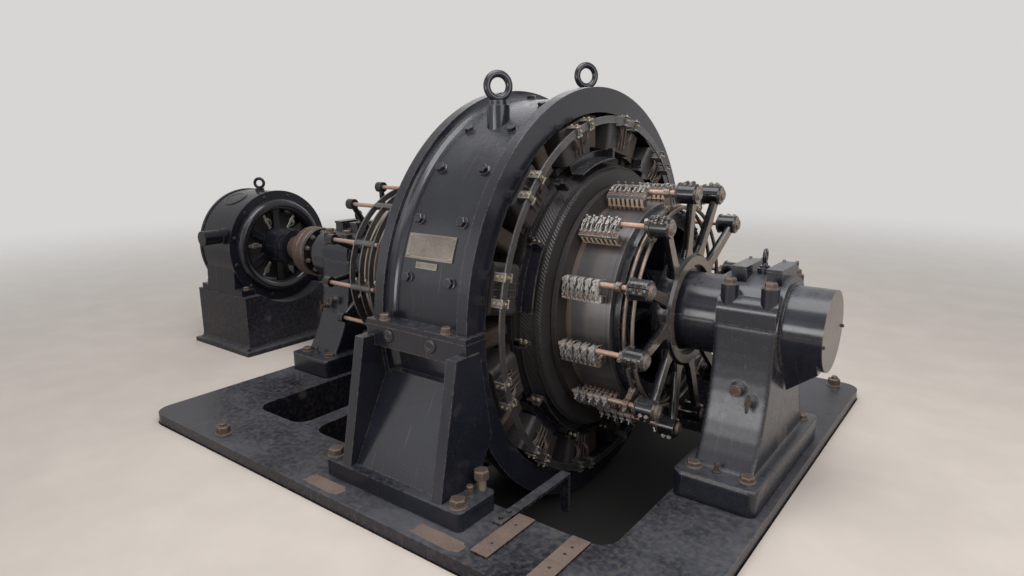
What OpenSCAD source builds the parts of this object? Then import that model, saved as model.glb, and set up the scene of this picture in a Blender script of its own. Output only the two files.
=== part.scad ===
// Rotary converter set: a twelve-pole machine with commutator and slip rings on a cast
// bedplate, two pedestal bearings and a small starting motor coupled to the same shaft.
// The shaft lies along X, the commutator end points to +X, and Z = 0 is the floor.

/* [Shaft line] */
// Height of the shaft above the floor
shaft_h = 1100; // [1090:5:1300]
// Radius of the shaft in its bearings
journal_r = 95; // [85:1:110]
// Reach of the shaft into the end cover
shaft_end = 60; // [30:1:100]
// Radius of the shaft between the bearings
shaft_r = 128; // [115:1:140]
// Radius of the shaft of the small motor
motor_shaft_r = 58; // [45:1:70]
// Radial clearance in the bearings and on turning seats
running_gap = 0.08; // [0.02:0.01:0.1]
// Gap between rigid pieces that touch on curved faces
seat_gap = 0.3; // [0.1:0.05:0.5]

/* [Bedplate] */
// Depth of the bedplate
bed_h = 400; // [360:5:420]
// Land of the bedplate beyond the pedestal bases
bed_margin = 35; // [10:1:50]
// Land of the bedplate outside the foot pads
bed_side = 128; // [100:2:200]
// Radius of the corners of the bedplate
bed_corner_r = 100; // [20:5:150]
// Distance from the foot pads to the edge of the pit opening
pit_gap = 19; // [10:1:40]
// Distance from the coupling-end pedestal to the pit opening
pit_land_back = 40; // [20:1:80]
// Distance from the commutator-end pedestal to the pit opening
pit_land_front = 10; // [5:1:60]
// Radius of the corners of the pit opening
pit_corner_r = 90; // [20:5:120]
// Middle of the cross rib in the pit opening
cross_rib_x = -915; // [-1000:5:-800]
// Width of the cross rib
cross_rib_w = 102; // [60:2:150]
// Distance of the foundation holes from the commutator end of the bedplate
foundation_end = 135; // [60:1:160]
// Distance of the foundation holes from the sides of the bedplate
foundation_side = 80; // [50:1:120]
// Radius of the foundation holes
foundation_r = 22; // [15:1:30]
// Height of the machined strips on the side rails
strip_h = 10; // [5:1:20]
// Width of a machined strip
strip_w = 80; // [50:1:100]
// Land of the bedplate outside the machined strips
strip_end = 66; // [30:1:110]
// Distance from the foot pads to the first machined strip
strip_gap = 110; // [80:1:160]
// Distance between the machined strips
strip_pitch = 259; // [120:1:300]

/* [Bedplate tail] */
// Land of the tail around the foot of the plinth, along the shaft
tail_end = 35; // [10:1:80]
// Land of the tail around the foot of the plinth, across the shaft
tail_side = 11; // [5:1:60]
// Step from the bedplate down to its tail
tail_step = 65; // [20:1:120]

/* [Yoke] */
// Height of the rims of the yoke
rim_h = 50; // [46:1:70]
// Thickness of the yoke between its rims
yoke_t = 70; // [50:1:90]
// Width of the yoke along the shaft
yoke_w = 550; // [520:2:600]
// Width of a rim
rim_w = 55; // [40:1:80]
// Fillet between rim and web
rim_fillet = 44; // [10:1:48]
// Reach of the split flanges beyond the rims
split_reach = 30; // [10:1:60]
// Reach of the split flanges beyond the sides of the yoke
split_side = 20; // [5:1:50]
// Height of the upper split flange
split_upper_h = 24; // [15:1:60]
// Height of the lower split flange
split_lower_h = 94; // [60:1:110]

/* [Feet] */
// Reach of the foot pads beyond the rims
foot_reach = 222; // [200:2:260]
// Width of a foot pad across the shaft
foot_pad_w = 238; // [200:2:245]
// Reach of a foot pad beyond the sides of the yoke
foot_pad_end = 135; // [60:1:160]
// Thickness of a foot pad
foot_pad_h = 80; // [50:1:100]
// Thickness of a foot rib
foot_rib_t = 55; // [35:1:70]
// Reach of a foot rib beyond the rims at its top
foot_rib_reach = 94; // [60:1:110]
// Thickness of the sloping web between the ribs
foot_web_t = 50; // [30:1:70]
// Depth below the shaft at which the ribs leave the yoke
foot_root_h = 440; // [400:5:470]
// Depth below the shaft at which the sloping web leaves the yoke
foot_web_h = 222; // [180:1:260]

/* [Lifting eyes] */
// Distance of the near lifting eye from the middle
eye_near = 480; // [400:5:520]
// Distance of the far lifting eye from the middle
eye_far = 297; // [250:1:400]
// Radius of the boss under a lifting eye
eye_boss_r = 53; // [45:1:60]
// Height of the boss under a lifting eye
eye_boss_h = 112; // [80:1:130]
// Mean radius of a lifting eye
eye_r = 55; // [45:1:65]
// Radius of the bar of a lifting eye
eye_bar_r = 17; // [12:1:20]
// Radius of the collar under a lifting eye
eye_collar_r = 40; // [30:1:50]
// Height of the collar under a lifting eye
eye_collar_h = 22; // [12:1:30]

/* [Cable bracket] */
// Gap between the cable bracket and the first machined strip
bracket_gap = 10; // [5:1:30]
// Width of the cable bracket
bracket_w = 48; // [40:1:60]
// Thickness of the cable bracket
bracket_t = 14; // [8:1:20]
// Reach of the cable bracket over the pit opening
bracket_reach = 398; // [300:1:420]
// Land of the cable bracket on the bedplate
bracket_land = 120; // [60:1:150]
// Height of the post of the cable bracket
bracket_h = 300; // [100:5:320]

/* [Poles] */
// Number of main poles
pole_count = 12; // [12:2:12]
// Angle of the first main pole from the top, towards the near side
pole_angle = 17.5; // [10:0.5:22]
// Gap between the armature and the pole faces
air_gap = 6; // [5:0.5:8]
// Radial height of a pole with its shoe
pole_h = 224; // [200:1:240]
// Length of a main pole along the shaft
pole_l = 450; // [400:2:470]
// Width of the body of a main pole
pole_w = 140; // [110:2:160]
// Width of the shoe of a main pole
shoe_w = 236; // [190:2:250]
// Thickness of the shoe at its middle
shoe_t = 26; // [20:1:34]
// Width of the winding on each side of a main pole
coil_t = 44; // [30:1:48]
// Gap between a main coil and the yoke
coil_back_gap = 10; // [8:1:20]
// Reach of a main coil beyond the end of its pole core, past the winding
coil_end_gap = 20; // [5:1:30]
// Gap between a main coil and the shoe
coil_shoe_gap = 13; // [6:1:25]
// Width of an interpole
interpole_w = 40; // [30:1:50]
// Width of the winding on each side of an interpole
interpole_coil_t = 25; // [15:1:30]
// Difference between the lengths of a main pole and an interpole
interpole_short = 20; // [0:1:40]
// Step of an interpole coil outwards from a main coil at its inner end
interpole_coil_step = 18; // [5:1:40]

/* [Field connections and guards] */
// Depth of the strap ring below the backs of the main coils
strap_inset = 18; // [17:1:40]
// Radial height of the strap ring
strap_h = 34; // [20:1:45]
// Distance between the two lugs that carry the strap ring on a coil
strap_lug_pitch = 110; // [80:1:150]
// Width of a strap lug
strap_lug_w = 28; // [16:1:40]
// Thickness of the strap ring
strap_t = 7; // [5:0.5:12]
// Distance of the strap ring from the front of the coils
strap_reach = 42; // [30:1:60]
// Half span of a winding guard
guard_half_span = 12.5; // [9:0.5:14]
// Gap between the end winding and a guard
guard_gap = 10; // [7:1:15]
// Width of a guard along the shaft
guard_l = 66; // [50:1:70]
// Thickness of a guard
guard_t = 6; // [4:0.5:8]
// Overlap of a guard on the front of the coils
guard_hold = 5; // [3:1:20]

/* [Armature] */
// Radius of the armature core
armature_r = 700; // [690:1:704]
// Length of the armature core
armature_l = 470; // [440:2:480]
// Radial depth of the armature core
core_depth = 155; // [120:1:180]
// Width of a ventilating duct in the armature core
duct_w = 10; // [6:1:14]
// Depth of a ventilating duct
duct_depth = 30; // [15:1:45]
// Reach of the end windings from the core
winding_l = 129; // [110:1:135]
// Height of the end windings above the risers at their ends
winding_rise = 73; // [50:1:90]
// Depth of the end windings below the armature surface
winding_inset = 6; // [2:0.5:12]
// Radial depth of the end windings
winding_depth = 74; // [50:1:80]
// Width of a rim that carries the end winding
support_t = 26; // [15:1:35]

/* [Commutator] */
// Radius of the brush track
commutator_r = 500; // [490:1:505]
// Gap between the end winding and the risers
riser_gap = 4; // [2:0.5:8]
// Height of the risers above the brush track
riser_h = 79; // [60:1:95]
// Thickness of the riser ring
riser_t = 30; // [20:1:35]
// Length of the brush track
track_l = 226; // [215:1:232]
// Radial depth of the copper bars
bar_depth = 82; // [60:1:95]
// Length of the clamp ring at the end of the commutator
clamp_l = 36; // [25:1:40]
// Step from the brush track down to the clamp ring
clamp_step = 24; // [15:1:35]
// Number of arms in each spider
spider_arms = 8; // [6:1:12]
// Thickness of a spider arm
spider_arm_t = 26; // [18:1:34]
// Wall of the hub of a spider
spider_hub_t = 44; // [30:1:60]
// Wall of the rim of a spider
spider_rim_t = 30; // [20:1:45]

/* [Brush rocker] */
// Number of brush arms
arm_count = 12; // [12:1:12]
// Angle of the first brush arm from the top
arm_angle = 10; // [0:1:20]
// Height of the brush spindles above the brush track
spindle_h = 68; // [60:1:80]
// Radius of a brush spindle
spindle_r = 12; // [9:0.5:14]
// Distance from the risers to the free ends of the brush spindles
spindle_inset = 5; // [3:1:10]
// Reach of the brush spindles beyond the bosses
spindle_end = 9; // [6:1:20]
// Radius of the boss at the end of an arm
boss_r = 46; // [38:1:48]
// Length of a boss
boss_l = 86; // [76:1:96]
// Bevel round the outer end of a boss
boss_bevel = 7; // [4:1:10]
// Outer radius of the rocker hub
hub_r = 272; // [262:1:280]
// Length of the rocker hub along the shaft
hub_l = 95; // [80:1:105]
// Distance of the rocker hub from the commutator
hub_reach = 45; // [35:1:60]
// Bevel round the rim of the rocker hub
hub_bevel = 12; // [6:1:18]
// Depth of the recess round the neck in the outer face of the rocker hub
recess_l = 25; // [15:1:35]
// Width of the recess round the neck
recess_w = 22; // [14:1:26]
// Radius of a rocker arm at the hub
arm_r0 = 29; // [24:1:32]
// Radius of a rocker arm at the boss
arm_r1 = 23; // [18:1:26]
// Distance that a rocker arm leans outwards between hub and boss
arm_lean = 34; // [24:1:40]
// Depth of a rocker arm's middle line behind its flat outer face
arm_flat = 12; // [6:1:18]
// Radius of the root of a rocker arm
arm_root_r = 46; // [38:1:52]
// Height of the root of a rocker arm
arm_root_h = 74; // [50:1:90]
// Thickness of the washer in front of a boss
washer_t = 5; // [3:1:10]
// Width of the clamping slot in a boss
slot_w = 5; // [3:1:8]
// Width of the two lugs that clamp a boss
lug_w = 34; // [24:1:40]
// Radius of a clamping lug
lug_r = 11; // [8:1:13]
// Number of brushes on each spindle
brush_count = 8; // [5:1:8]
// Distance between brushes along the shaft
brush_pitch = 24; // [22:0.5:25]
// Width of a brush along the shaft
brush_w = 14; // [12:0.5:16]
// Thickness of a brush around the commutator
brush_t = 20; // [14:1:24]
// Number of clamps on each spindle
clamp_count = 5; // [3:1:5]
// Distance between the clamps on a spindle
clamp_pitch = 38; // [34:1:42]
// Width of a clamp on a spindle
holder_w = 20; // [14:1:26]
// Wall of a clamp around its spindle
spindle_wall = 11; // [6:0.5:14]
// Gap under the brushes
brush_gap = 1; // [0.5:0.1:2]
// Gap between the brush boxes and the brush track
box_gap = 16; // [8:1:24]
// Distance from the risers to the brush boxes
box_inset = 12; // [6:1:20]
// Wall of a brush box across the shaft
box_wall = 6; // [3:0.5:9]
// Wall of a brush box along the shaft
sleeve_wall = 2.5; // [1.5:0.5:3]
// Offset of the brushes from their spindle, around the commutator
brush_offset = 66; // [58:1:72]
// Distance of the connection rings inside the circle of spindles
ring_drop = 82; // [60:1:110]
// Radius of the round bar of a connection ring
ring_bar_r = 9; // [6:0.5:12]
// Distance of the first connection ring from the commutator
ring_reach = 28; // [20:1:45]
// Distance between the connection rings
ring_pitch = 40; // [30:1:42]
// Width of the clamp that carries a connection ring
clamp_w = 26; // [20:1:30]
// Gap between the last ring clamp and the bosses of the rocker
boss_gap = 3; // [2:0.5:20]

/* [Pedestals] */
// Distance from the last slip ring to the coupling-end bearing
slip_neck_gap = 168; // [140:1:220]
// Reach of the pedestal base beyond the bearing barrel
base_reach = 45; // [30:1:80]
// Offset of the pedestal base from the middle of the bearing, away from the machine
base_shift = 0; // [0:1:20]
// Half width of the pedestal base
base_y = 488; // [460:1:500]
// Height of the pedestal base
base_h = 116; // [90:1:130]
// Radius of the corners of the pedestal base
base_corner_r = 36; // [10:1:60]
// Step from the ends of the barrel to the sides of the column
column_step = 7; // [2:1:20]
// Half width of the column at the cap joint
column_y = 222; // [218:1:226]
// Exponent of the curve in which the column spreads
column_curve = 2.7; // [2:0.1:4]
// Half width of the column where it meets the base
column_foot_y = 375; // [340:2:400]
// Radius of the bearing barrel
barrel_r = 217; // [205:1:225]
// Length of the bearing barrel
barrel_l = 270; // [264:2:290]
// Radius of the neck that points to the machine
neck_r = 185; // [170:1:190]
// Length of the neck of the commutator-end bearing
neck_l = 290; // [270:1:300]
// Length of the neck of the coupling-end bearing
inner_neck_l = 186; // [180:1:190]
// Height of the seat for the brush rocker on the neck
rocker_seat_h = 12; // [6:1:20]
// Distance of the brush rocker from the end of the neck
seat_inset = 10; // [4:1:20]
// Height of the cap joint above the shaft
joint_h = 20; // [0:1:30]
// Wall of the bearing lining
shell_t = 22; // [12:1:30]
// Distance of the cap bolt bosses from the ends of the column
cap_boss_end = 42; // [30:1:60]
// Distance of the cap bolt bosses from the sides of the column
cap_boss_side = 42; // [40:1:60]
// Radius of a cap bolt boss
cap_boss_r = 38; // [28:1:45]
// Height of the cap bolt bosses above the shaft
cap_boss_h = 192; // [160:1:205]
// Height of the shoulders of the cap above its joint
shoulder_h = 122; // [100:1:135]
// Radius of the shoulders of the cap
shoulder_r = 62; // [30:1:80]
// Reach of the bosses that carry the oil fittings beyond the column
fitting_boss_h = 14; // [6:1:24]
// Depth of the sight plug below the shaft
plug_depth = 250; // [200:5:300]
// Radius of the sight plug
plug_r = 15; // [10:1:20]
// Depth of the drain cock below the shaft
cock_depth = 292; // [240:4:340]
// Radius of the drain cock
cock_r = 11; // [8:1:15]
// Distance of the drain cock from the middle of the bearing
cock_x = 62; // [40:2:80]
// Length of the end cover
cover_l = 170; // [150:2:200]
// Wall of the end cover
cover_wall = 24; // [12:1:30]
// Gap between a cover and the shaft that runs through it
shaft_gap = 6; // [5:1:10]
// Radius of the end cover
cover_r = 179; // [165:1:190]
// Slope of the keel under the end cover
keel_angle = 36; // [34:1:60]

/* [Inspection lids] */
// Distance of the lids from the middle of the bearing
lid_x = 76; // [62:1:84]
// Width of a lid along the shaft
lid_w = 68; // [50:1:76]
// Length of a lid across the shaft
lid_l = 232; // [180:2:240]
// Thickness of a lid
lid_t = 13; // [8:1:18]
// Height of the lid seats above the shaft
lid_seat_h = 246; // [238:1:255]
// Overhang of a lid beyond its seat at both ends
lid_lap = 8; // [3:1:14]
// Radius of a hinge pin
pin_r = 6; // [4:0.5:8]
// Gap between a hinge ear and the knuckle of its lid
ear_gap = 2; // [1:0.5:4]
// Radius of the collar between the lids
collar_r = 30; // [24:1:36]
// Height of the collar above the barrel
collar_h = 16; // [8:1:24]
// Mean radius of the eye on the collar
small_eye_r = 34; // [28:1:40]
// Radius of the bar of that eye
small_eye_bar_r = 11; // [8:0.5:13]

/* [Slip rings] */
// Number of slip rings
slip_count = 3; // [3:1:3]
// Distance from the end winding to the first slip ring
slip_gap = 543; // [450:1:600]
// Distance between the slip rings
slip_pitch = 80; // [75:1:82]
// Radius of a slip ring
slip_r = 420; // [400:1:430]
// Width of a slip ring
slip_w = 44; // [30:1:50]
// Radial depth of a slip ring
slip_depth = 60; // [40:1:80]
// Height of the slip-ring brush spindles above the slip rings
ac_spindle_h = 80; // [70:1:95]
// Radial height of a collecting ring
collector_h = 34; // [28:1:44]
// Thickness of a collecting ring
collector_t = 9; // [6:1:12]
// Radius of the bosses of the slip-ring brush star
ac_boss_r = 32; // [24:1:36]
// Outer radius of the hub that carries the slip-ring brushes
ac_hub_r = 256; // [245:1:265]
// Length of that hub along the shaft
ac_hub_l = 48; // [40:1:60]
// Radius of a slip-ring arm at the hub
ac_arm_r = 23; // [18:1:24]
// Radius of the insulating bobbins
bobbin_r = 21; // [17:1:25]
// Thickness of a slip-ring brush around the ring
ac_brush_t = 32; // [20:1:40]

/* [Coupling] */
// Distance from the bearing to the hub of the coupling
coupling_reach = 30; // [20:1:50]
// Radius of the coupling flanges
coupling_r = 176; // [160:1:182]
// Thickness of a coupling flange
coupling_t = 58; // [44:1:64]
// Bevel on the edges of a coupling flange
coupling_bevel = 9; // [2:1:15]
// Radius of a coupling hub
coupling_hub_r = 108; // [100:1:120]
// Length of a coupling hub
coupling_hub_l = 95; // [80:1:110]
// Length of the hub of the motor's half of the coupling
coupling_cone_l = 174; // [150:2:190]
// Radius of that hub at its far end
coupling_cone_r = 90; // [84:1:100]

/* [Small motor] */
// Distance from the coupling to the motor frame
motor_gap = 220; // [160:2:260]
// Length of the motor frame
motor_l = 410; // [380:2:420]
// Radius of the motor frame
motor_r = 410; // [395:1:420]
// Radius of the bore of the motor frame
motor_bore_r = 300; // [290:1:310]
// Width of the lips at the ends of the motor frame
motor_lip = 22; // [10:1:30]
// Height of the lips at the ends of the motor frame
motor_lip_h = 7; // [3:1:10]
// Step from the sides of the plinth to the motor feet
motor_foot_step = 6; // [2:1:20]
// Clearance between the motor frame and the saddle of the plinth
saddle_gap = 14; // [12:1:20]
// Radius of the side nozzle of the motor frame
motor_nozzle_r = 52; // [40:1:60]
// Reach of the side nozzle beyond the motor frame
motor_nozzle_l = 158; // [80:1:200]
// Distance of the side nozzle from the middle of the frame, along the shaft
motor_nozzle_x = 116; // [80:1:130]
// Height of the side nozzle above the shaft
motor_nozzle_z = 112; // [60:1:130]
// Outer radius of the rounded end rings
end_ring_r = 356; // [345:1:365]
// Radius of the opening in the end rings
end_ring_bore_r = 273; // [260:1:280]
// Reach of the end rings in front of the frame
end_ring_t = 44; // [30:1:55]
// Number of arms of a bracket of the motor
bracket_arms = 6; // [3:1:8]
// Length of a bearing hub of the motor
motor_hub_l = 206; // [160:2:240]
// Length of the rear bearing hub behind the motor's frame
rear_hub_l = 60; // [40:1:80]
// Distance of the rotor's core from the ends of the frame
core_gap = 73; // [60:1:90]
// Height of the ridges round a bearing hub
motor_ridge_h = 7; // [3:1:12]
// Length of a foot beyond the motor's frame
motor_pad_l = 66; // [40:1:90]
// Width of a motor foot
motor_pad_w = 110; // [80:2:130]
// Wall of a bearing hub of the motor
motor_hub_t = 74; // [60:1:80]
// Gap between the rotor of the motor and the bore of its frame
motor_core_gap = 40; // [20:1:60]
// Distance from the shaft down to the top of the plinth
plinth_drop = 330; // [310:1:360]
// Thickness of a foot of the motor frame
motor_foot_t = 44; // [30:1:60]
// Half width of the plinth at its top
plinth_y = 400; // [390:2:420]
// Length of the plinth along the shaft
plinth_l = 640; // [600:5:680]
// Flare of the plinth at its foot
plinth_flare = 44; // [10:2:50]
// Height of the foot of the plinth
plinth_foot_h = 36; // [20:1:60]

/* [Hidden] */
$fn = 96;

cut = 1;
ac_angle = 5;
// Place along the shaft, depth below it, radius and length of each oil fitting
fitting_places = [[0, plug_depth, plug_r, 24], [cock_x, cock_depth, cock_r, 40]];
ear_t = 10;
ear_r = 13;
enamel = "#2a303b";
dark_enamel = "#1b1f27";
steel = "#8d9299";
copper = "#9a6b4f";
varnish = "#4a3a2f";
rust = "#7a4f3a";

pole_pitch = 360 / pole_count;
pole_face_r = armature_r + air_gap;
yoke_bore_r = pole_face_r + pole_h;
yoke_web_r = yoke_bore_r + yoke_t;
yoke_r = yoke_web_r + rim_h;
pole_back_r = yoke_bore_r - seat_gap;
split_y = yoke_r + split_reach;
split_l = yoke_w + 2 * split_side;
foot_y = yoke_r + foot_reach;
foot_rib_y = yoke_r + foot_rib_reach;
foot_pad_y = foot_y - foot_pad_w;
foot_pad_l = yoke_w + 2 * foot_pad_end;
bed_y = foot_y + bed_side;
pit_y = foot_pad_y - pit_gap;
first_strip_x = foot_pad_l / 2 + strip_gap;
bracket_x = first_strip_x - bracket_gap - bracket_w / 2;

coil_w = pole_w + 2 * coil_t;
coil_l = pole_l + 2 * (coil_t + coil_end_gap);
coil_top_r = sqrt(yoke_bore_r * yoke_bore_r - coil_w * coil_w / 4) - coil_back_gap;
coil_foot_r = pole_face_r + shoe_t + coil_shoe_gap;
coil_x1 = coil_l / 2;
interpole_l = pole_l - interpole_short;
interpole_coil_w = interpole_w + 2 * interpole_coil_t;
interpole_coil_l = interpole_l + 2 * interpole_coil_t + 10;
strap_r = coil_top_r - strap_inset;
strap_x = coil_x1 + strap_reach;
winding_top_r = armature_r - winding_inset;
winding_end_r = commutator_r + riser_h + winding_rise;
guard_r = winding_top_r + guard_gap;
guard_top_r = coil_foot_r + guard_hold;

core_x1 = armature_l / 2;
core_bore_r = armature_r - core_depth;
winding_x1 = core_x1 + winding_l;
riser_x = winding_x1 + riser_gap;
riser_r = commutator_r + riser_h;
track_x = riser_x + riser_t;
track_x1 = track_x + track_l;
clamp_x1 = track_x1 + clamp_l;
bar_r = commutator_r - bar_depth;
spider_hub_r = shaft_r + spider_hub_t;

arm_pitch = 360 / arm_count;
spindle_circle_r = commutator_r + spindle_h;
ring_r = spindle_circle_r - ring_drop;
box_x0 = track_x + box_inset;
box_l = brush_count * brush_pitch + box_wall;
holder_x = box_x0 + (box_l - (clamp_count - 1) * clamp_pitch) / 2;
brush_lean = atan(brush_offset / spindle_circle_r);
spindle_x0 = track_x + spindle_inset;
boss_x = clamp_x1 + ring_reach + ring_pitch + clamp_w / 2 + boss_gap + washer_t;
star_x = clamp_x1 + hub_reach;
spindle_l = boss_x + boss_l + spindle_end - spindle_x0;
rocker_seat_r = neck_r + rocker_seat_h;

column_l = barrel_l - 2 * column_step;
base_l = barrel_l + 2 * base_reach;
cap_boss_x = column_l / 2 - cap_boss_end;
cap_boss_y = column_y - cap_boss_side;
neck_x = star_x - seat_inset;
outboard_x = neck_x + neck_l + barrel_l / 2;
slip_x = -winding_x1 - slip_gap - slip_w / 2;
slip_x_end = slip_x - (slip_count - 1) * slip_pitch;
inboard_x = slip_x_end - slip_w / 2 - slip_neck_gap - inner_neck_l - barrel_l / 2;
ac_star_x = inboard_x + barrel_l / 2 + inner_neck_l - seat_inset;
ac_circle_r = slip_r + ac_spindle_h;
housing_bore_r = journal_r + shell_t;
bed_x0 = inboard_x - base_shift - base_l / 2 - bed_margin;
bed_x1 = outboard_x + base_shift + base_l / 2 + bed_margin;
pit_x0 = inboard_x - base_shift + base_l / 2 + pit_land_back;
pit_x1 = outboard_x + base_shift - base_l / 2 - pit_land_front;
foundation_x = bed_x1 - foundation_end;
foundation_y = bed_y - foundation_side;
bed_top = bed_h;
tail_h = bed_h - tail_step;

coupling_x = inboard_x - barrel_l / 2 - cover_l - coupling_reach - coupling_hub_l - coupling_t;
motor_x1 = coupling_x - coupling_t - coupling_cone_l - motor_gap;
motor_x0 = motor_x1 - motor_l;
motor_mid_x = (motor_x0 + motor_x1) / 2;
motor_foot_y = plinth_y - motor_foot_step;
plinth_top = shaft_h - plinth_drop;
motor_foot_z = shaft_h - plinth_drop / 3;
tail_x0 = motor_mid_x - plinth_l / 2 - plinth_flare - tail_end;
tail_y = plinth_y + plinth_flare + tail_side;
pin_y = lid_l / 2 + pin_r;
pin_z = shaft_h + lid_seat_h + lid_t / 2;
shaft_x1 = outboard_x + barrel_l / 2 + shaft_end;

// Points along an arc of a circle
function arc(cx, cy, r, a0, a1, n = 6) =
    [for (i = [0:n]) let (a = a0 + (a1 - a0) * i / n) [cx + r * cos(a), cy + r * sin(a)]];

// Limits on both sides of a middle
function span(half) = [-half, half];

// Mirrors a list of points in the line of its second coordinate
function mirrored(points) = [for (i = [len(points) - 1:-1:0]) [points[i][0], -points[i][1]]];

// Lays a body that stands along Z parallel to the shaft, its foot at x and its line at height z
module along(x, z) translate([x, 0, z]) rotate([0, 90, 0]) children();

// Puts a body that stands along Z onto the shaft line, its foot at x
module on_shaft(x = 0) along(x, shaft_h) children();

// Puts a body that is drawn at the top of the machine at an angle towards the near side
module at_angle(a) translate([0, 0, shaft_h]) rotate([a, 0, 0]) children();

// A block given by its limits
module block(x, y, z) translate([x[0], y[0], z[0]]) cube([x[1] - x[0], y[1] - y[0], z[1] - z[0]]);

// A plate with round upright corners, from the corner at the origin
module rounded_plate(l, w, h, r) linear_extrude(h) union() {
    translate([r, 0]) square([l - 2 * r, w]);
    translate([0, r]) square([l, w - 2 * r]);
    for (x = [r, l - r], y = [r, w - r]) translate([x, y]) circle(r);
}

// A tube around Z
module tube(r_out, r_in, l) difference() {
    cylinder(r = r_out, h = l);
    translate([0, 0, -cut]) cylinder(r = r_in, h = l + 2 * cut);
}

// Half of a body of revolution on the shaft line, above or below it
module half_turned(points, upper) on_shaft() rotate([0, 0, upper ? 90 : -90])
    rotate_extrude(angle = 180) polygon(points);

// A closed ring that stands upright, for lifting
module eye(r, bar) rotate([90, 0, 0]) rotate_extrude() translate([r, 0]) circle(bar, $fn = 32);

// Bedplate

module bedplate() color(enamel) difference() {
    union() {
        translate([bed_x0, -bed_y, 0]) rounded_plate(bed_x1 - bed_x0, 2 * bed_y, bed_h, bed_corner_r);
        for (x = [first_strip_x, first_strip_x + strip_pitch], m = [0, 1]) mirror([0, m, 0])
            block([x, x + strip_w], [pit_y + strip_h, bed_y - strip_end], [bed_top - cut, bed_top + strip_h]);
    }
    pit_half(pit_x0, cross_rib_x - cross_rib_w / 2);
    pit_half(cross_rib_x + cross_rib_w / 2, pit_x1);
    for (x = span(1), y = span(1))
        translate([x * foundation_x, y * foundation_y, -cut]) cylinder(r = foundation_r, h = bed_h + 2 * cut);
}

module pit_half(x0, x1) translate([x0, -pit_y, -cut])
    rounded_plate(x1 - x0, 2 * pit_y, bed_h + 2 * cut, pit_corner_r);

module bed_tail() color(dark_enamel) block([tail_x0, bed_x0], span(tail_y), [0, tail_h]);

// Yoke

function rim_profile() = let (h = yoke_w / 2, c = yoke_web_r + rim_fillet, e = h - rim_w) concat(
    [[yoke_bore_r, -h], [yoke_r, -h], [yoke_r, -e]],
    arc(c, rim_fillet - e, rim_fillet, -90, -180));

module yoke_half(upper) half_turned(concat(rim_profile(), mirrored(rim_profile())), upper);

module split_flange(z) for (s = span(1))
    block(span(split_l / 2), s > 0 ? [yoke_web_r - rim_h, split_y] : [-split_y, rim_h - yoke_web_r], z);

module yoke_upper() color(enamel) union() {
    yoke_half(true);
    split_flange([shaft_h, shaft_h + split_upper_h]);
    for (y = [-eye_near, eye_far]) translate([0, y, shaft_h + eye_seat_h(y) - eye_boss_r / 2])
        cylinder(r = eye_boss_r, h = eye_boss_r / 2 + eye_boss_h);
}

// Height at which the boss of a lifting eye leaves the yoke
function eye_seat_h(y) = sqrt(yoke_web_r * yoke_web_r - pow(abs(y) + eye_boss_r, 2));

module lifting_eyes() color(enamel) for (y = [-eye_near, eye_far])
    translate([0, y, shaft_h + eye_seat_h(y) + eye_boss_h]) {
        cylinder(r = eye_collar_r, h = eye_collar_h);
        translate([0, 0, eye_collar_h + eye_r + eye_bar_r / 2]) rotate([0, 0, 60]) eye(eye_r, eye_bar_r);
    }

module yoke_lower() color(enamel) union() {
    yoke_half(false);
    split_flange([shaft_h - split_lower_h, shaft_h]);
    for (s = span(1)) foot(s);
}

module foot(s) {
    pad_z = bed_top + foot_pad_h;
    top_z = shaft_h - split_lower_h / 2;
    slope_y = foot_y - foot_web_t;
    translate([-foot_pad_l / 2, s > 0 ? foot_pad_y : -foot_y, bed_top])
        rounded_plate(foot_pad_l, foot_pad_w, foot_pad_h, foot_rib_t / 2);
    for (x = span(yoke_w / 2)) translate([x - foot_rib_t / 2, 0, 0]) side_plate(foot_rib_t, [
        [s * yoke_web_r, top_z], [s * foot_rib_y, top_z], [s * (foot_y - foot_rib_t / 4), pad_z - cut],
        [s * foot_pad_y, pad_z - cut], [s * yoke_bore_r, shaft_h - foot_root_h]]);
    translate([-yoke_w / 2, 0, 0]) side_plate(yoke_w, [
        [s * (yoke_web_r - foot_web_t), shaft_h - foot_web_h],
        [s * (yoke_web_r + foot_web_t / 4), shaft_h - foot_web_h],
        [s * slope_y, pad_z - cut], [s * (slope_y - foot_web_t), pad_z - cut],
        [s * (yoke_web_r - foot_web_t), shaft_h - foot_web_h - foot_web_t]]);
}

// A plate that stands across the shaft, drawn as [y, z] points
module side_plate(t, points) rotate([90, 0, 90]) linear_extrude(t) polygon(points);

// Poles and field coils

// Keeps what lies between the pole faces and the bore of the yoke
module between_pole_faces() intersection() {
    children();
    on_shaft(-coil_l) tube(pole_back_r, pole_face_r, 2 * coil_l);
}

module at_poles(first) for (i = [0:pole_count - 1]) at_angle(first + i * pole_pitch) children();

module main_poles() color(dark_enamel) between_pole_faces() at_poles(pole_angle) union() {
    block(span(pole_l / 2), span(pole_w / 2), [pole_face_r - shoe_t, yoke_web_r]);
    block(span(pole_l / 2), span(shoe_w / 2), [pole_face_r - shoe_t, pole_face_r + shoe_t]);
}

module wound_coil(l, w, core_l, core_w, r0, r1) difference() {
    translate([-l / 2, -w / 2, r0]) rounded_plate(l, w, r1 - r0, interpole_coil_t);
    block(span(core_l / 2) + span(seat_gap), span(core_w / 2) + span(seat_gap),
        [r0 - cut, r1 + cut]);
}

module main_coils() color(varnish) at_poles(pole_angle)
    wound_coil(coil_l, coil_w, pole_l, pole_w, coil_foot_r, coil_top_r);

module interpoles() color(dark_enamel) between_pole_faces() at_poles(pole_angle - pole_pitch / 2)
    block(span(interpole_l / 2), span(interpole_w / 2), 
        [pole_face_r - interpole_w, yoke_web_r]);

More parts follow.
